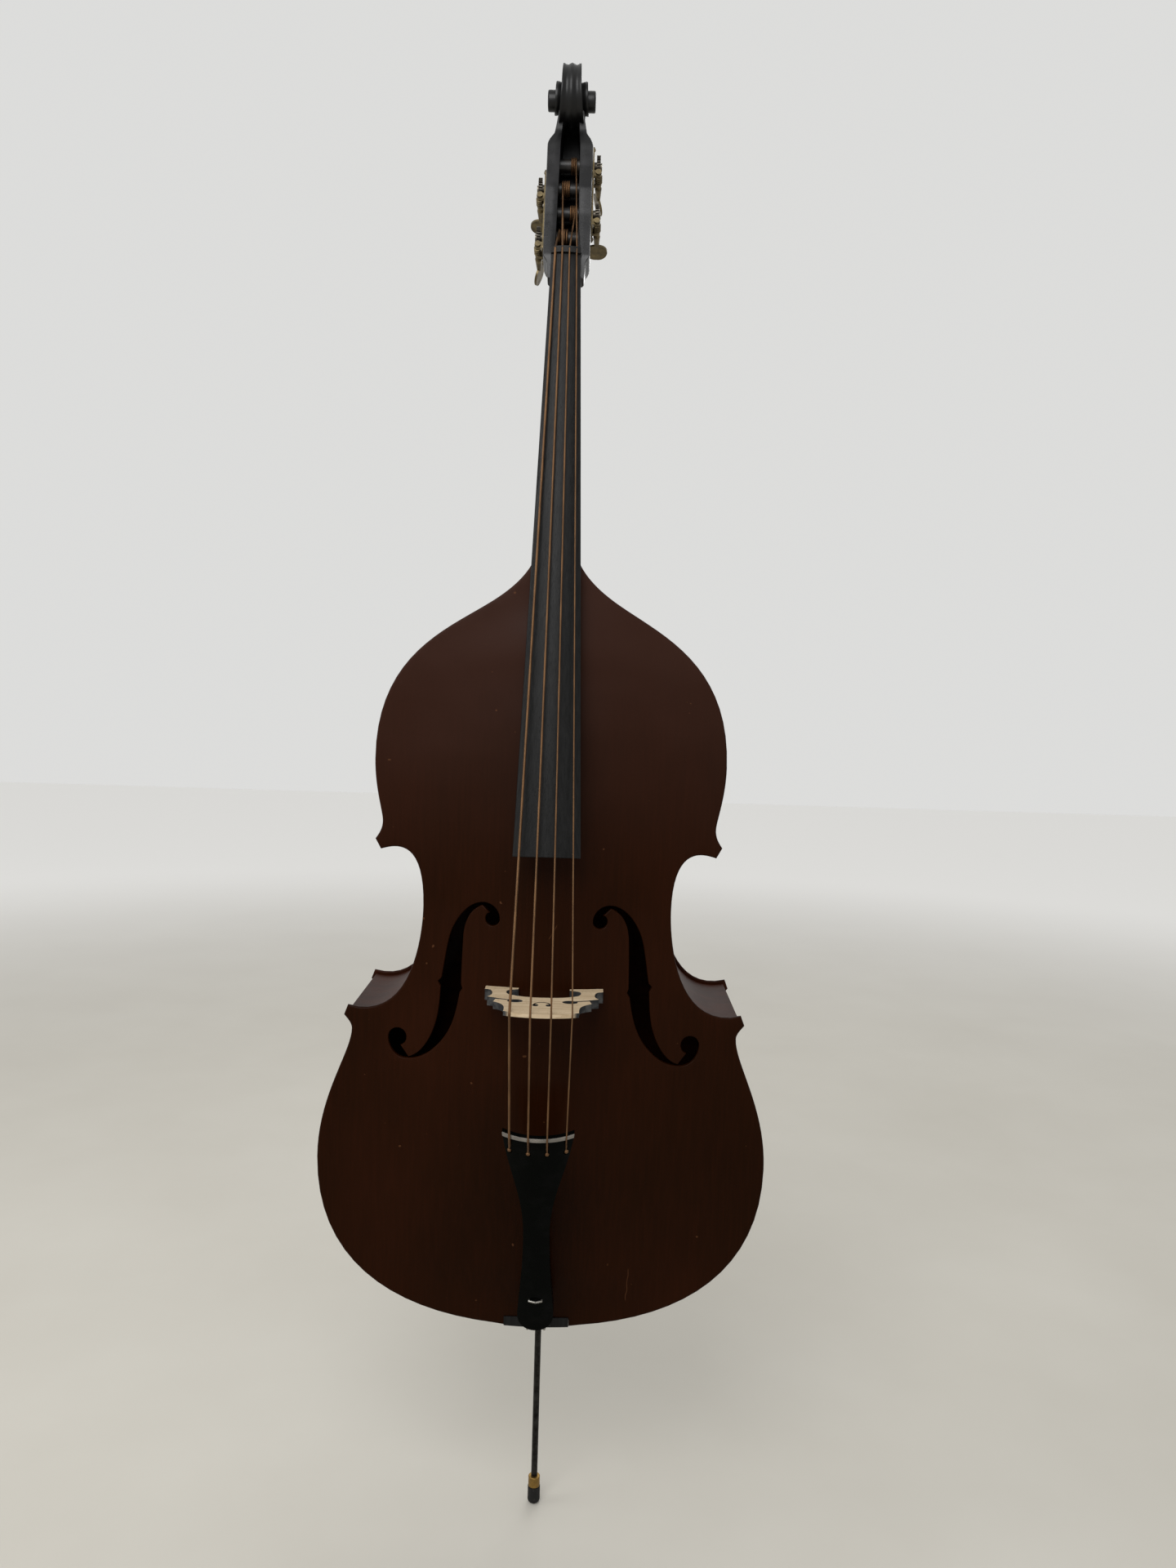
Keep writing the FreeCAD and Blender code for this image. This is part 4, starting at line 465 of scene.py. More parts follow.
FINISHES["wound_string"] = wound("wound_string", paint(142, 107, 74), paint(62, 43, 29))
print("turns of tape in a metre of string:", round(1.0 / TAPE_PITCH))

# %% [markdown]
# Each CAD node came with a material that is only a name.  The finish of that name takes
# its place, so every piece, also the ones inside, is dressed before any shape is refined.

# %% Every CAD node gets its finish
slot_of = {}
for node_name, node in nodes.items():
    slot_of[node_name] = node.data.materials[0].name.split(".")[0]
    node.data.materials[0] = FINISHES[slot_of[node_name]]
print("dressed nodes:", len(nodes))

# %% [markdown]
# ## Surfaces
#
# From here on, the pieces whose shape the eye reads first are made again as finer
# surfaces.  Each is worked out as whole arrays of points: a row of rings, joined ring to
# ring by four-sided faces.  One helper turns the rings into a mesh, closes the ends, and
# turns the faces outwards by the sign of the volume that they enclose.

# %% From rings to a piece
WELD_REACH = 1e-6
SHARP_ANGLE = 40.0                  # degrees between faces, past which an edge stays sharp


def enclosed(points, faces):
    """Six times the volume inside the faces, from the triangle fans of their corners."""
    total = 0.0
    for face in faces:
        first = points[face[:, :1]]
        fans = np.cross(points[face[:, 1:-1]], points[face[:, 2:]])
        total += float((first * fans).sum())
    return total


def weld(mesh):
    """Joins points that lie in one place, where one patch of a surface meets the next."""
    shape = bmesh.new()
    shape.from_mesh(mesh)
    bmesh.ops.remove_doubles(shape, verts=shape.verts, dist=WELD_REACH)
    shape.to_mesh(mesh)
    shape.free()


def smooth_faces(mesh, sharp):
    """Shades a mesh smoothly, but for edges sharper than an angle in degrees."""
    mesh.polygons.foreach_set("use_smooth", np.ones(len(mesh.polygons), bool))
    mesh.set_sharp_from_angle(angle=math.radians(sharp))


def make_piece(name, points, faces, body, finish, replaced):
    """A mesh from points and lists of equal-sided faces, riding on a body."""
    if enclosed(points, faces) < 0.0:
        faces = [face[:, ::-1] for face in faces]
    mesh = bpy.data.meshes.new(name)
    mesh.from_pydata(points.tolist(), [], [f for face in faces for f in face.tolist()])
    weld(mesh)
    smooth_faces(mesh, SHARP_ANGLE)
    mesh.materials.append(FINISHES[finish])
    piece = put_in_scene(name, mesh)
    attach(piece, body)
    if replaced:
        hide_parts(*replaced)
    print(f"{name}: {len(mesh.vertices)} points, {len(mesh.polygons)} faces")


def ring_faces(count, around):
    """Four-sided faces between each ring of points and the next one."""
    row = np.arange(around)
    near = np.stack([row, np.roll(row, -1)], 1)
    band = np.concatenate([near, near[:, ::-1] + around], 1)
    return (band + around * np.arange(count - 1)[:, None, None]).reshape(-1, 4)


def lofted(rings):
    """Faces between rings of equal length, shape (rings, points, 3), with both ends closed."""
    count, around = rings.shape[:2]
    end = np.arange(around)[None]
    return rings.reshape(-1, 3), [ring_faces(count, around), end[:, ::-1], end + around * (count - 1)]


print("surfaces: rings joined by faces, sharp past", SHARP_ANGLE, "degrees")


# %% [markdown]
# ### The two plates
#
# The front and the back are thin arched plates.  Their outline is a chain of curves
# between a few points, and their arching is a formula, so a plate is made flat first:
# the outline is filled with small triangles, then every point is lifted to the arch, and
# a rounded edge is carried round the rim.  The sound holes are left out of the filling.
#
# The outline comes first.  Each stretch is a cubic curve that leaves one knot and meets
# the next in given directions, so three short rows of knots hold the three bouts.

# %% Curves through a few points
BODY_BOTTOM = 0.355                 # floor to the lowest edge of the body
CURVE_STEPS = 18


def smooth_run(knots):
    """Cubic stretches between knots: x, height, heading in degrees, reach in, reach out.

    Knots are in millimetres.  The curve is a(1-t)^3 + 3bt(1-t)^2 + 3ct^2(1-t) + dt^3, with
    b ahead of the first knot by its reach out and c behind the last by its reach in.
    """
    runs = []
    t = np.linspace(0.0, 1.0, CURVE_STEPS + 1)[:, None]
    for first, last in zip(knots, knots[1:]):
        start, finish = math.radians(first[2]), math.radians(last[2])
        a, d = np.array(first[:2]), np.array(last[:2])
        b = a + first[4] * np.array([math.cos(start), math.sin(start)])
        c = d - last[3] * np.array([math.cos(finish), math.sin(finish)])
        curve = a * (1 - t) ** 3 + 3 * b * t * (1 - t) ** 2 + 3 * c * t * t * (1 - t) + d * t ** 3
        runs.append(curve[1:] if runs else curve)
    return np.concatenate(runs) / 1000.0


LOWER_BOUT = ((0.0, 0.0, 0.0, 0.0, 195.0), (328.8, 250.0, 90.0, 172.0, 92.0),
              (280.3, 443.6, 90.0, 36.0, 8.0), (291.8, 464.0, 52.0, 8.0, 0.0))
MIDDLE_BOUT = ((286.3, 478.5, 194.4, 0.0, 99.0), (179.2, 628.0, 90.0, 38.0, 103.0),
               (241.7, 708.6, -15.0, 17.0, 0.0))
UPPER_BOUT = ((249.8, 723.5, 126.0, 0.0, 9.0), (239.7, 749.3, 90.0, 11.0, 13.5),
              (251.8, 839.0, 90.0, 43.8, 150.0), (88.5, 1067.2, 146.5, 75.0, 24.0),
              (34.0, 1121.0, 118.0, 26.0, 0.0))
HALF_OUTLINE = np.concatenate([smooth_run(bout) for bout in (LOWER_BOUT, MIDDLE_BOUT, UPPER_BOUT)])
print("half outline:", len(HALF_OUTLINE), "points, widest", round(float(HALF_OUTLINE[:, 0].max()), 4))

# %% [markdown]
# A carved plate rises from its rim in a soft wave, highest under the bridge, and both
# ends run out flat.  Its section is a raised cosine at every height, and a few stations
# from the bottom to the top say how wide the wave is and how much of the crest it has.

# %% The arching
PLATE_RIM = 0.111                   # depth of each plate's outer face at its rim
PLATE_THICKNESS = 0.007
INNER_ARCH = 0.94                   # the inner face's arch as a share of the outer one's
FRONT_CREST, BACK_CREST = 0.028, 0.017
ARCH_HEIGHTS = (-0.025, 0.020, 0.110, 0.250, 0.390, 0.500, 0.628, 0.720, 0.850, 0.980, 1.090, 1.150)
ARCH_HALF_WIDTHS = (0.060, 0.170, 0.285, 0.318, 0.285, 0.215, 0.176, 0.205, 0.240, 0.200, 0.110, 0.060)
ARCH_SHARES = (0.0, 0.02, 0.45, 0.86, 0.98, 1.0, 1.0, 0.97, 0.82, 0.48, 0.08, 0.0)


def arch_rise(x, height, crest):
    """A raised cosine across the plate, its width and rise eased from station to station."""
    place = np.interp(height, ARCH_HEIGHTS, np.arange(len(ARCH_HEIGHTS)))
    step = np.clip(place.astype(int), 0, len(ARCH_HEIGHTS) - 2)
    t = place - step
    shares = np.array(ARCH_SHARES)
    share = shares[step] + (3.0 - 2.0 * t) * t * t * (shares[step + 1] - shares[step])
    half_width = np.interp(height, ARCH_HEIGHTS, ARCH_HALF_WIDTHS)
    across = np.clip(np.abs(x) / half_width, 0.0, 1.0)
    return crest * share * 0.5 * (1.0 + np.cos(math.pi * across))


def plate_depths(x, height, crest):
    """How far the outer and the inner face lie from the middle of the body."""
    rise = arch_rise(x, height, crest)
    return PLATE_RIM + rise, PLATE_RIM - PLATE_THICKNESS + INNER_ARCH * rise


print("front plate, rise in the middle:", round(float(arch_rise(0.0, np.array(0.5), FRONT_CREST)), 4))

# %% [markdown]
# The flat outline is filled by a triangulation that keeps the given edges.  Points on a
# grid, every second row shifted by half a step, make the triangles nearly equal-sided,
# and those too near the rim are left out.  What falls in a hole is thrown away after.

# %% Filling an outline
from mathutils.geometry import delaunay_2d_cdt

PLATE_GRID = 0.009


def stepped_in(loop, inset):
    """The loop moved to its left by an inset at each point, along the halved corners."""
    along = np.roll(loop, -1, 0) - loop
    along /= np.linalg.norm(along, axis=1)[:, None]
    left = np.stack([-along[:, 1], along[:, 0]], 1)
    corner = left + np.roll(left, 1, 0)
    corner /= np.maximum((corner * corner).sum(1)[:, None] / 2.0, 0.45)
    return loop + corner * np.asarray(inset).reshape(-1, 1)


def inside(points, loop):
    """True where a ray to the right crosses the loop an odd number of times."""
    x, z = points[:, :1], points[:, 1:]
    ax, az = loop[:, 0], loop[:, 1]
    bx, bz = np.roll(ax, -1), np.roll(az, -1)
    spans = (az > z) != (bz > z)
    rise = np.where(bz == az, 1.0, bz - az)
    return ((spans & (x < ax + (z - az) * (bx - ax) / rise)).sum(1) % 2) == 1


def filled(loops, grid):
    """Points and triangles that fill the first loop without the holes, on a fine grid."""
    low, high = loops[0].min(0) + grid / 2.0, loops[0].max(0)
    columns, rows = np.arange(low[0], high[0], grid), np.arange(low[1], high[1], grid)
    mesh_x, mesh_z = np.meshgrid(columns, rows)
    mesh_x[1::2] += grid / 2.0
    inner = np.stack([mesh_x.ravel(), mesh_z.ravel()], 1)
    edges, start = [], 0
    for loop in loops:
        order = np.arange(len(loop)) + start
        edges.append(np.stack([order, np.roll(order, -1)], 1))
        start += len(loop)
    rim = np.concatenate(loops)
    clear = np.ones(len(inner), bool)
    for point in rim:
        clear &= ((inner - point) ** 2).sum(1) > (0.45 * grid) ** 2
    points = np.concatenate([rim, inner[clear]])
    result = delaunay_2d_cdt([Vector(p) for p in points], np.concatenate(edges).tolist(),
                             [list(range(len(loops[0])))], 0, 1e-7)
    flat = np.array([tuple(p) for p in result[0]])
    triangles = np.array(result[2])
    middle = flat[triangles].mean(1)
    keep = inside(middle, loops[0])
    for hole in loops[1:]:
        keep &= ~inside(middle, hole)
    return flat, triangles[keep]


tile = np.array([(0.0, 0.0), (0.1, 0.0), (0.1, 0.1), (0.0, 0.1)])
print("triangles that fill a square of 100 mm:", len(filled([tile], PLATE_GRID)[1]))

# %% [markdown]
# The rim of a plate is rounded over by hand with a file.  Here the rim is a row of rings:
# a quarter circle down from the outer face, then a flatter one up to the inner face.

# %% A plate from its outline and holes
ROUNDING = np.radians(np.linspace(0.0, 90.0, 5))
INNER_ROUNDING = 0.6                # the inner quarter's depth as a share of the outer one's


def arched_plate(loops, roundings, side, crest):
    """The filled outline lifted to the arch on both faces, joined by rounded rims.

    A face's depth is its rim depth plus its arch.  Round the rim, a ring moves out with
    the sine of the turn, and falls or rises by a radius times one minus its cosine.
    """
    tops = [stepped_in(loop, radius) for loop, radius in zip(loops, roundings)]
    flat, triangles = filled(tops, PLATE_GRID)
    depths = plate_depths(flat[:, 0], flat[:, 1], crest)
    lifted = [np.stack([flat[:, 0], side * d, flat[:, 1] + BODY_BOTTOM], 1) for d in depths]
    points = np.concatenate(lifted)
    faces = [triangles, triangles[:, ::-1] + len(flat)]
    for loop, top, radius in zip(loops, tops, roundings):
        outer, inner = plate_depths(top[:, 0], top[:, 1], crest)
        rings = []
        rises = (outer, -radius, ROUNDING), (inner, INNER_ROUNDING * radius, ROUNDING[::-1])
        for depth, rise, turns in rises:
            for turn in turns:
                place = loop + (top - loop) * (1.0 - math.sin(turn))
                y = side * (depth + rise * (1.0 - math.cos(turn)))
                rings.append(np.stack([place[:, 0], y, place[:, 1] + BODY_BOTTOM], 1))
        rings = np.array(rings)
        faces.append(ring_faces(*rings.shape[:2])[:, ::-1] + len(points))
        points = np.concatenate([points, rings.reshape(-1, 3)])
    return points, faces


print("rings round a rim:", 2 * len(ROUNDING))

# %% [markdown]
# The outline of the front plate has two notches: one at the top for the neck's heel and
# one at the bottom for the saddle.  The back plate has a round button at the top
# instead, which the heel is glued to.

# %% The plates' outlines
HEEL_HALF, HEEL_NOTCH = 0.0301, 0.030           # half width and depth of the upper notch
SADDLE_HALF, SADDLE_NOTCH = 0.0481, 0.0151      # and of the lower one
NOTCH_SPARE = 0.001
MIDDLE_HEIGHT = 0.5
BUTTON_RADIUS = 0.027
EDGE_ROUNDING, NOTCH_ROUNDING = 0.0028, 0.0003


def whole_loop(half):
    """The right half from the bottom up, and its mirror image down again."""
    mirror = half[::-1] * np.array([-1.0, 1.0])
    loop = np.concatenate([half, mirror])
    gap = np.linalg.norm(loop - np.roll(loop, 1, 0), axis=1)
    return loop[gap > 1e-5]


def front_outline():
    """The outline with both notches, and its rounding, next to nothing inside them."""
    lowest = HALF_OUTLINE[:CURVE_STEPS + 1]
    bottom = np.interp(SADDLE_HALF, lowest[:, 0], lowest[:, 1])
    curve = HALF_OUTLINE[(HALF_OUTLINE[:, 0] > SADDLE_HALF) | (HALF_OUTLINE[:, 1] > MIDDLE_HEIGHT)]
    length = HALF_OUTLINE[-1, 1]
    notch_low = [(0.0, SADDLE_NOTCH), (SADDLE_HALF, SADDLE_NOTCH), (SADDLE_HALF, bottom)]
    notch_high = [(HEEL_HALF, length), (HEEL_HALF, length - HEEL_NOTCH), (0.0, length - HEEL_NOTCH)]
    loop = whole_loop(np.concatenate([notch_low, curve, notch_high]))
    notch_half = np.where(loop[:, 1] > MIDDLE_HEIGHT, HEEL_HALF, SADDLE_HALF) + NOTCH_SPARE
    in_notch = np.abs(loop[:, 0]) < notch_half
    return loop, np.where(in_notch, NOTCH_ROUNDING, EDGE_ROUNDING)


def back_outline():
    """The outline with the round button at the top."""
    turn = np.radians(np.linspace(12.0, 90.0, 14))
    centre = HALF_OUTLINE[-1, 1] - 0.004
    button = np.stack([BUTTON_RADIUS * np.cos(turn), centre + BUTTON_RADIUS * np.sin(turn)], 1)
    loop = whole_loop(np.concatenate([HALF_OUTLINE, button]))
    return loop, np.full(len(loop), EDGE_ROUNDING)


front_loop, front_rounding = front_outline()
back_loop, back_rounding = back_outline()
print("points round the front and the back:", len(front_loop), len(back_loop))

# %% [markdown]
# A sound hole is one closed loop: round the upper eye, down the outer rim with its small
# notch, round the lower eye, and back up the inner rim.  The two eyes are arcs that run
# between the rims and the pointed wings.

# %% The sound holes
UPPER_EYE, LOWER_EYE = (0.077, 0.615, 0.0105), (0.213, 0.434, 0.0135)
HOLE_OUTER_RIM = ((66.6, 615.0, 90.0, 0.0, 14.0), (90.0, 638.0, 0.0, 11.0, 24.0),
                  (140.0, 583.0, -77.0, 26.0, 16.0), (150.0, 524.0, -80.0, 18.0, 0.0))
HOLE_OUTER_FOOT = ((151.0, 512.0, -88.0, 0.0, 18.0), (158.0, 455.0, -73.0, 18.0, 20.0),
                   (196.0, 406.0, -14.0, 20.0, 0.0))
HOLE_INNER_RIM = ((226.5, 434.0, -90.0, 0.0, 16.0), (200.0, 403.5, 180.0, 15.0, 22.0),
                  (150.0, 430.0, 131.0, 22.0, 26.0), (123.0, 504.0, 98.0, 28.0, 0.0))
HOLE_INNER_TOP = ((121.0, 517.0, 90.5, 0.0, 24.0), (119.5, 585.0, 92.0, 22.0, 20.0),
                  (92.0, 633.5, 158.0, 22.0, 0.0))
OUTER_NOTCH, INNER_NOTCH = (0.155, 0.519), (0.1188, 0.5105)
LOWER_WING, UPPER_WING = (0.208, 0.422), (0.0815, 0.6235)
HOLE_ROUNDING = 0.0012
EYE_STEPS = 16


def eye_arc(eye, start, finish):
    """An arc round an eye between two bearings in degrees, anticlockwise if they grow."""
    turn = np.radians(np.linspace(start, finish, EYE_STEPS))
    return np.stack([eye[0] + eye[2] * np.cos(turn), eye[1] + eye[2] * np.sin(turn)], 1)


def bearing(wing, eye):
    """The direction of a wing's tip from its eye, in degrees."""
    return math.degrees(math.atan2(wing[1] - eye[1], wing[0] - eye[0]))


def sound_hole():
    """The right-hand sound hole as one clockwise loop."""
    low, high = bearing(LOWER_WING, LOWER_EYE), bearing(UPPER_WING, UPPER_EYE)
    return np.concatenate([
        smooth_run(HOLE_OUTER_RIM), [OUTER_NOTCH], smooth_run(HOLE_OUTER_FOOT), [LOWER_WING],
        eye_arc(LOWER_EYE, low - 8.0, -358.0), smooth_run(HOLE_INNER_RIM)[1:], [INNER_NOTCH],
        smooth_run(HOLE_INNER_TOP), [UPPER_WING], eye_arc(UPPER_EYE, high - 12.0, -178.0)])


right_hole = sound_hole()
left_hole = right_hole[::-1] * np.array([-1.0, 1.0])
print("sound hole:", len(right_hole), "points round it")

# %% [markdown]
# With the outline, the holes and the arch, both plates are one call each.  The front
# looks to -Y and the back to +Y, so a side of -1 or 1 turns the same shape round.

# %% The front and the back
front_plate = arched_plate([front_loop, right_hole, left_hole],
                           [front_rounding, HOLE_ROUNDING, HOLE_ROUNDING], -1.0, FRONT_CREST)
make_piece("front_plate", *front_plate, "bass_body", "varnish_front", ("top_plate",))
back_plate = arched_plate([back_loop], [back_rounding], 1.0, BACK_CREST)
make_piece("back_plate_shell", *back_plate, "bass_body", "varnish_body", ("back_plate",))

# %% [markdown]
# ### The scroll
#
# A scroll is a ribbon of wood that winds inwards and grows wider with each turn, so that
# the eye in the middle stands out furthest.  It could be sculpted, but a formula says it
# exactly: at every angle, a section with a hollowed outer edge (two flutes and a ridge
# between them) and scooped sides, carried along a shrinking spiral.
#
# The head leans back from the nut, so its shapes are written in a leaning frame: across,
# back and along the head from the nut.  One function turns them into the bass's frame.

# %% The leaning frame of the head
HEAD_LEAN = math.radians(17.0)
GLUE_Y = -0.0422                    # the fingerboard's glued face at the nut
NUT_Z = 1.9167


def on_head(x, depth, along):
    """Points of the pegbox's own leaning frame (x, depth, along) in the bass's frame."""
    y = GLUE_Y + depth * math.cos(HEAD_LEAN) + along * math.sin(HEAD_LEAN)
    z = NUT_Z - depth * math.sin(HEAD_LEAN) + along * math.cos(HEAD_LEAN)
    return np.stack(np.broadcast_arrays(x, y, z), -1)


print("200 mm along the head is at", np.round(on_head(0.0, 0.0, 0.2), 4).tolist())

# %% [markdown]
# The spiral shrinks by the same share in every degree, as a snail's shell does.  The
# ribbon's inner edge is the radius that the spiral has one turn later, so the turns meet,
# and in the last turn it reaches the middle, which closes the wood under the eye.

# %% The volute
SCROLL_EYE = (-0.001, 0.264)        # depth and place along the head
SCROLL_RADIUS = 0.063
EYE_RADIUS = 0.0135
SPIRAL_TURNS = 2.45
SPIRAL_STEPS = 64                   # sections in each turn
SPIRAL_START = math.radians(5.0)
VOLUTE_FLUTE, VOLUTE_SCOOP = 0.0024, 0.0016     # depths of the hollows: edge, sides
CORNER_FALL = 0.0022                # how far the ribbon's corner lies under its edge


def spiral_radius(angle):
    """The rim's radius times the eye's share of it, raised to the share of the way."""
    share = np.clip(angle / (math.tau * SPIRAL_TURNS), 0.0, 1.0)
    return SCROLL_RADIUS * (EYE_RADIUS / SCROLL_RADIUS) ** share


def ribbon_half_width(angle):
    """Narrow over the top, then wider and wider towards the eye."""
    turns = angle / math.tau
    return np.interp(turns, (0.0, 0.27, 0.55, 0.75, 1.25, 1.75, 2.1, SPIRAL_TURNS),
                     (0.0165, 0.0125, 0.0145, 0.0185, 0.0225, 0.0250, 0.0270, 0.0280))


def ribbon_section(half, outer, inner):
    """Right half of a section: across the fluted edge, round the corner, down the side.

    A flute is a squared sine across the edge; the side is scooped by a half sine, and
    leans in by 2 mm from its top to its foot.
    """
    across = np.linspace(0.0, 1.0, 13)
    down = np.linspace(0.0, 1.0, 9)[1:]
    flute = VOLUTE_FLUTE * np.sin(math.pi * across) ** 2
    edge_x = half[:, None] * across
    edge_r = outer[:, None] - flute - 0.0006 * (across > 0.99)
    scoop = VOLUTE_SCOOP * np.sin(math.pi * down)
    side_x = half[:, None] + 0.0007 - scoop - 0.002 * down
    side_r = outer[:, None] - CORNER_FALL + (inner - outer + CORNER_FALL)[:, None] * down
    return np.concatenate([edge_x, side_x], 1), np.concatenate([edge_r, side_r], 1)


def volute():
    """Sections all along the spiral; those of the last turn reach in to its middle."""
    angle = np.linspace(0.0, math.tau * SPIRAL_TURNS, int(SPIRAL_STEPS * SPIRAL_TURNS))
    outer = spiral_radius(angle)
    last = angle > math.tau * (SPIRAL_TURNS - 1.0)
    inner = np.where(last, 0.0002, spiral_radius(angle + math.tau) - 0.002)
    half_x, radius = ribbon_section(ribbon_half_width(angle), outer, inner)
    x = np.concatenate([half_x, -half_x[:, :0:-1]], 1)
    r = np.concatenate([radius, radius[:, :0:-1]], 1)
    turn = (angle - SPIRAL_START)[:, None]
    return on_head(x, SCROLL_EYE[0] + r * np.cos(turn), SCROLL_EYE[1] + r * np.sin(turn))


make_piece("scroll_volute", *lofted(volute()), "bass_body", "black_lacquer", ())

# %% [markdown]
# The eyes stand out on both sides like two buttons.  They are the ends of one turned bar
# through the whole scroll: half a profile, mirrored, and carried round the bar's line.

# %% The eyes of the scroll
EYE_END = 0.0357
BUTTON_RADII = np.array([0.0002, 0.0060, 0.0110, 0.0134, 0.0144, 0.0147, 0.0147, 0.0146])
BUTTON_PLACES = np.array([EYE_END, EYE_END, 0.0356, 0.0353, 0.0345, 0.0330, 0.0280, 0.0200])


def eyes():
    """A turned bar across the scroll, whose two rounded ends are the eyes."""
    x = np.concatenate([BUTTON_PLACES, -BUTTON_PLACES[::-1]])
    radius = np.concatenate([BUTTON_RADII, BUTTON_RADII[::-1]])
    turn = np.linspace(0.0, math.tau, 49)[:-1]
    return on_head(x[:, None], SCROLL_EYE[0] + radius[:, None] * np.cos(turn),
                   SCROLL_EYE[1] + radius[:, None] * np.sin(turn))


make_piece("scroll_eyes", *lofted(eyes()), "bass_body", "black_lacquer", ())

# %% [markdown]
# ### The pegbox
#
# The pegbox is a trough: two cheeks and a floor.  Its outside narrows into the throat
# under the scroll and into the shoulder under the nut.  A trough is a ring that dips in
# its middle, so the same lofting makes it, and the dip opens and closes with two rings in
# one place, which are the trough's end walls.

# %% The pegbox's sizes
HEAD_LOW, HEAD_HIGH, HEAD_RINGS = -0.028, 0.2585, 141
PEGBOX_OPENS, PEGBOX_CLOSES = 0.009, 0.234
TROUGH_DEPTH = 0.040
HEAD_FLUTE = 0.0022


def pegbox_profile(along):
    """Half width, front depth and back depth of the head at each place along it."""
    half = np.interp(along, (-0.028, -0.008, -0.004, 0.0, 0.190, 0.199, 0.208, 0.232, 0.2585),
                     (0.0262, 0.0275, 0.0285, 0.0336, 0.0336, 0.0305, 0.0245, 0.0205, 0.0167))
    front = np.interp(along, (-0.028, 0.0, 0.07, 0.115, 0.150, 0.190, 0.202, 0.214, 0.232, 0.2585),
                      (0.004, -0.005, -0.0058, -0.0085, -0.0035, -0.0045, -0.003, -0.001, -0.004, -0.008))
    back = np.interp(along, (-0.028, -0.010, 0.02, 0.07, 0.13, 0.19, 0.215, 0.235, 0.2585),
                     (0.026, 0.043, 0.0515, 0.0525, 0.0505, 0.0495, 0.0525, 0.0578, 0.0619))
    return half, front, back


def smoothed(values, passes):
    """Each value averaged with its neighbours, again and again, with both ends kept."""
    for _ in range(passes):
        middle = (values[:-2] + values[1:-1] + values[2:]) / 3.0
        values = np.concatenate([values[:1], middle, values[-1:]])
    return values


print("the head is", round(HEAD_HIGH - HEAD_LOW, 4), "m long up to the scroll's middle")

# %% [markdown]
# Round the back, the head is nearly half an ellipse with two shallow flutes.  Towards the
# scroll it turns square, where the ribbon of the volute starts.  So both sections are
# worked out for every ring, and a share from 0 to 1 goes from the one to the other.

# %% The pegbox
def head_outside(along, half, front, back):
    """Across the back from cheek to cheek: x and depth of each ring's points.

    In the round section the cheeks' corners are drawn in by powers of the swing; in the
    square one they are straight lines.  The flutes are a squared sine.
    """
    swing = np.linspace(-1.0, 1.0, 41)
    out = np.abs(swing)
    corner = 1.0 - (1.0 - out) ** 2.6
    round_x = np.minimum(corner * 1.18, 1.0)
    round_d = 1.0 - np.clip((corner - 0.72) / 0.28, 0.0, 1.0) ** 1.7
    square_x = np.clip(out / 0.6, 0.0, 1.0)
    square_d = 1.0 - np.clip((out - 0.6) / 0.4, 0.0, 1.0)
    square = np.interp(along, (0.196, 0.240), (0.0, 1.0))[:, None]
    reach = round_x + square * (square_x - round_x)
    lift = round_d + square * (square_d - round_d)
    flute = HEAD_FLUTE * np.sin(math.pi * np.clip(reach * 1.1, 0.0, 1.0)) ** 2
    edge = front + 0.0015
    return half[:, None] * np.sign(swing) * reach, edge[:, None] + (back - edge)[:, None] * lift - flute


def head_inside(along, half, front, open_here):
    """Over the right cheek's edge and down into the trough, which is flat where shut."""
    trough = np.interp(along, (PEGBOX_OPENS, 0.190, PEGBOX_CLOSES), (0.0165, 0.0145, 0.0110))
    inner = np.where(open_here, trough, 0.45 * half)[:, None]
    floor_depth = np.where(open_here, TROUGH_DEPTH, front + 0.0001)
    edge_x = inner + (half[:, None] - inner) * np.array([0.95, 0.5, 0.08, 0.0])
    edge_d = front[:, None] + np.array([0.0, 0.0, 0.0, 0.0008])
    wall_x = inner * np.array([1.0, 0.93, 0.5])
    wall_d = np.stack([floor_depth - 0.002 * open_here, floor_depth, floor_depth], 1)
    return np.concatenate([edge_x, wall_x], 1), np.concatenate([edge_d, wall_d], 1)


def pegbox():
    """Rings across the head, two of them in one place at each end of the trough."""
    along = np.linspace(HEAD_LOW, HEAD_HIGH, HEAD_RINGS)
    ends = np.searchsorted(along, [PEGBOX_OPENS, PEGBOX_CLOSES])
    order = np.sort(np.concatenate([np.arange(HEAD_RINGS), ends]))
    first, last = np.searchsorted(order, ends)
    open_here = np.zeros(len(order), bool)
    open_here[first + 1:last + 1] = True
    half, front, back = (smoothed(values, 2)[order] for values in pegbox_profile(along))
    along = along[order]
    out_x, out_d = head_outside(along, half, front, back)
    in_x, in_d = head_inside(along, half, front, open_here)
    x = np.concatenate([out_x, in_x, -in_x[:, ::-1]], 1)
    depth = np.concatenate([out_d, in_d, in_d[:, ::-1]], 1)
    return on_head(x, depth, along[:, None])


make_piece("pegbox", *lofted(pegbox()), "bass_body", "black_lacquer", ("scroll_head",))

# %% [markdown]
# ### The neck
#
# The neck is lofted from the nut down.  Each ring starts at a point on the fingerboard's
# glued face and reaches back to the neck's rear: a straight taper at first, then the
# curve of the heel, which sweeps back to the button of the back plate.  A ring is flat in
# front, straight for a little on both sides, and round behind.

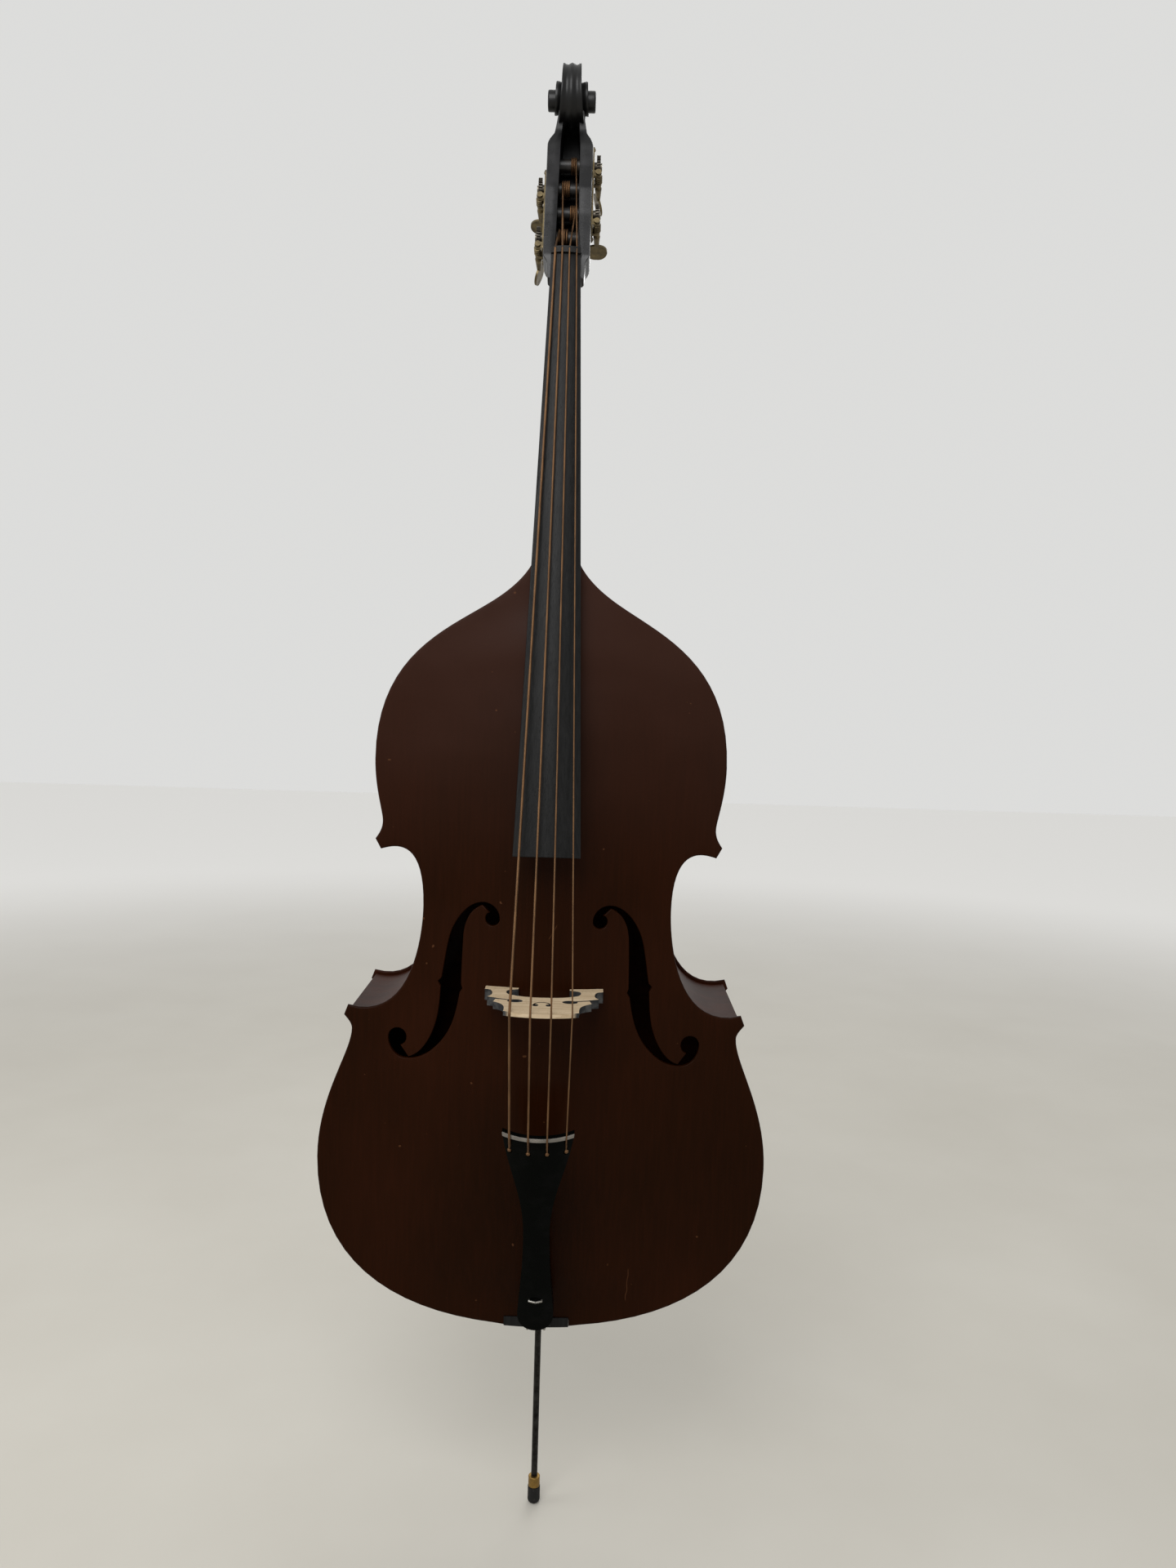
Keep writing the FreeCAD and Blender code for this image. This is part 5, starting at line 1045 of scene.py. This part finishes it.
# %% The neck's lines
NECK_LEAN = math.radians(9.12)
NECK_HALF, NECK_WIDENS = 0.021, 0.0517 / 0.86 / 2.0     # half width at the nut, and a metre's gain
NECK_DEEP, NECK_DEEPENS = 0.027, 0.008 / 0.345
NECK_RINGS, HEEL_RINGS = 24, 25
BODY_TOP = BODY_BOTTOM + float(HALF_OUTLINE[-1, 1])
HEEL_START, HEEL_END = 0.305, (NUT_Z - BODY_TOP) / math.cos(NECK_LEAN)
HEEL_FOOT = 0.0296                  # how far the heel reaches down into its notch
BUTTON_TOP = BODY_TOP + 0.022
BACK_INSIDE = 0.104                 # inner face of the back plate's rim


def on_neck(distance, depth):
    """(y, z) of points below the nut and behind the fingerboard's glued face."""
    y = GLUE_Y - distance * math.sin(NECK_LEAN) + depth * math.cos(NECK_LEAN)
    z = NUT_Z - distance * math.cos(NECK_LEAN) - depth * math.sin(NECK_LEAN)
    return np.stack([y, z], -1)


def neck_lines():
    """Front and rear points (y, z), half widths, and how deep and wide the rear is rounded.

    The heel's rear is a cubic curve from the neck to the button.  Its width and rounding
    fall with high powers of the way down, so that they hardly change before its foot.
    """
    distance = np.linspace(0.0, HEEL_START, NECK_RINGS)
    t = np.linspace(0.0, 1.0, HEEL_RINGS + 1)[1:]
    feet = np.array([BODY_TOP, BODY_TOP - HEEL_FOOT])
    shaft = on_neck(distance, NECK_DEEP + NECK_DEEPENS * distance)
    a, d = shaft[-1], np.array([BACK_INSIDE, BUTTON_TOP])
    b, c = a + (-0.017, -0.078), np.array([a[0] + 0.010, BODY_TOP + 0.030])
    u = t[:, None]
    heel = (1 - u) ** 3 * a + 3 * u * (1 - u) ** 2 * b + 3 * u * u * (1 - u) * c + u ** 3 * d
    front = np.concatenate([on_neck(distance, 0.0), on_neck(HEEL_START + (HEEL_END - HEEL_START) * t, 0.0),
                            [(-PLATE_RIM, feet[0] - 0.0005), (-PLATE_RIM, feet[1])]])
    rear = np.concatenate([shaft, heel, [(BACK_INSIDE, foot) for foot in feet]])
    half = np.concatenate([NECK_HALF + NECK_WIDENS * distance, 0.0300 - 0.0035 * t ** 6, [0.0299, 0.0299]])
    rounded = np.concatenate([np.full(NECK_RINGS, 0.024), 0.024 - 0.018 * t ** 5, [0.001, 0.001]])
    width = np.concatenate([np.full(NECK_RINGS, 1.0), 1.0 - 0.72 * t ** 4, [0.05, 0.05]])
    return front, rear, half, rounded, width


print("heel: from", HEEL_START, "to", round(HEEL_END, 4), "m below the nut")

# %% [markdown]
# With those lines, a ring is half a section and its mirror image.  Across and back are
# shares of the half width and of the way from the front line to the rear one.

# %% The neck and its heel
def neck():
    """Rings between the front and rear lines: flat, straight sides, an elliptic rear."""
    front, rear, half, rounded, width = neck_lines()
    reach = np.linalg.norm(rear - front, axis=1)
    corner = np.minimum(rounded, 0.8 * reach) / reach
    turn = np.linspace(0.0, math.pi / 2.0, 12)
    ahead = np.linspace(0.0, 1.0, 5)
    down = np.linspace(0.0, 1.0, 5)[1:-1]
    across = np.concatenate([np.tile(ahead, (len(half), 1)), np.ones((len(half), 3)),
                             1.0 - width[:, None] * (1.0 - np.cos(turn))], 1)
    back = np.concatenate([np.zeros((len(half), 5)), (1.0 - corner)[:, None] * down,
                           1.0 - corner[:, None] * (1.0 - np.sin(turn))], 1)
    x = half[:, None] * np.concatenate([across, -across[:, ::-1]], 1)
    share = np.concatenate([back, back[:, ::-1]], 1)[:, :, None]
    yz = front[:, None, :] + (rear - front)[:, None, :] * share
    return np.concatenate([x[:, :, None], yz], 2)


make_piece("neck_shaft", *lofted(neck()), "bass_body", "neck_wood", ("neck",))

# %% [markdown]
# ### Softened edges
#
# The plain pieces keep the CAD model's shape, but no real edge is razor sharp.  Each gets
# a copy whose triangles are joined, with a fine bevel along every true edge.

# %% Softened copies of the plain pieces
SOFT_WIDTHS = {"fingerboard": 0.0011, "nut": 0.0008, "saddle": 0.0012}
BEVEL_ANGLE = 32.0                  # degrees; blunter edges are not bevelled
FLAT_ANGLE = 0.6                    # degrees; flatter edges are only the CAD mesh's own


def softened(node_name, width):
    """A copy of a CAD node with its edges bevelled by a width in metres."""
    node = nodes[node_name]
    mesh = node.data.copy()
    mesh.transform(node.matrix_world)
    shape = bmesh.new()
    shape.from_mesh(mesh)
    bmesh.ops.remove_doubles(shape, verts=shape.verts, dist=2.0 * WELD_REACH)
    bmesh.ops.dissolve_limit(shape, angle_limit=math.radians(FLAT_ANGLE),
                             verts=shape.verts, edges=shape.edges)
    shape.to_mesh(mesh)
    shape.free()
    smooth_faces(mesh, BEVEL_ANGLE)
    piece = put_in_scene(node_name + "_soft", mesh)
    bevel = piece.modifiers.new("bevel", "BEVEL")
    bevel.width = width
    bevel.segments = 2
    bevel.limit_method = "ANGLE"
    bevel.angle_limit = math.radians(BEVEL_ANGLE)
    bevel.harden_normals = True
    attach(piece, "bass_body")
    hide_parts(node_name)


for node_name, edge in SOFT_WIDTHS.items():
    softened(node_name, edge)
print("softened:", sorted(SOFT_WIDTHS))

# %% [markdown]
# ## The floor and the end
#
# The floor is plain and pale, and a little paler far from the bass, where less of the
# lamps' light reaches it, so that it runs quietly into the background.

# %% The floor
FLOOR_REACH = 12.0
FADE_STARTS, FADE_ENDS = 3.0, 45.0  # squared distances from the endpin
floor_mesh = bpy.data.meshes.new("floor")
corners = [(FLOOR_REACH * x, FLOOR_REACH * y, 0.0) for x, y in ((-1, -1), (1, -1), (1, 1), (-1, 1))]
floor_mesh.from_pydata(corners, [], [(0, 1, 2, 3)])
floor = put_in_scene("floor", floor_mesh)
floor_finish = Finish("pale_floor", roughness=0.8, specular_ior_level=0.1)
floor_cloud = floor_finish.noise(2.0, detail=6.0)
floor_near = floor_finish.blend(floor_cloud, paint(180, 176, 167), paint(192, 189, 181))
floor_x, floor_y = floor_finish.axis("X"), floor_finish.axis("Y")
floor_far = (floor_x * floor_x + floor_y * floor_y).between(FADE_STARTS, FADE_ENDS)
floor_finish.feed("Base Color", floor_finish.blend(floor_far, floor_near, paint(246, 245, 243)))
floor_mesh.materials.append(floor_finish.material)
print("floor:", 2.0 * FLOOR_REACH, "m square")

# %% [markdown]
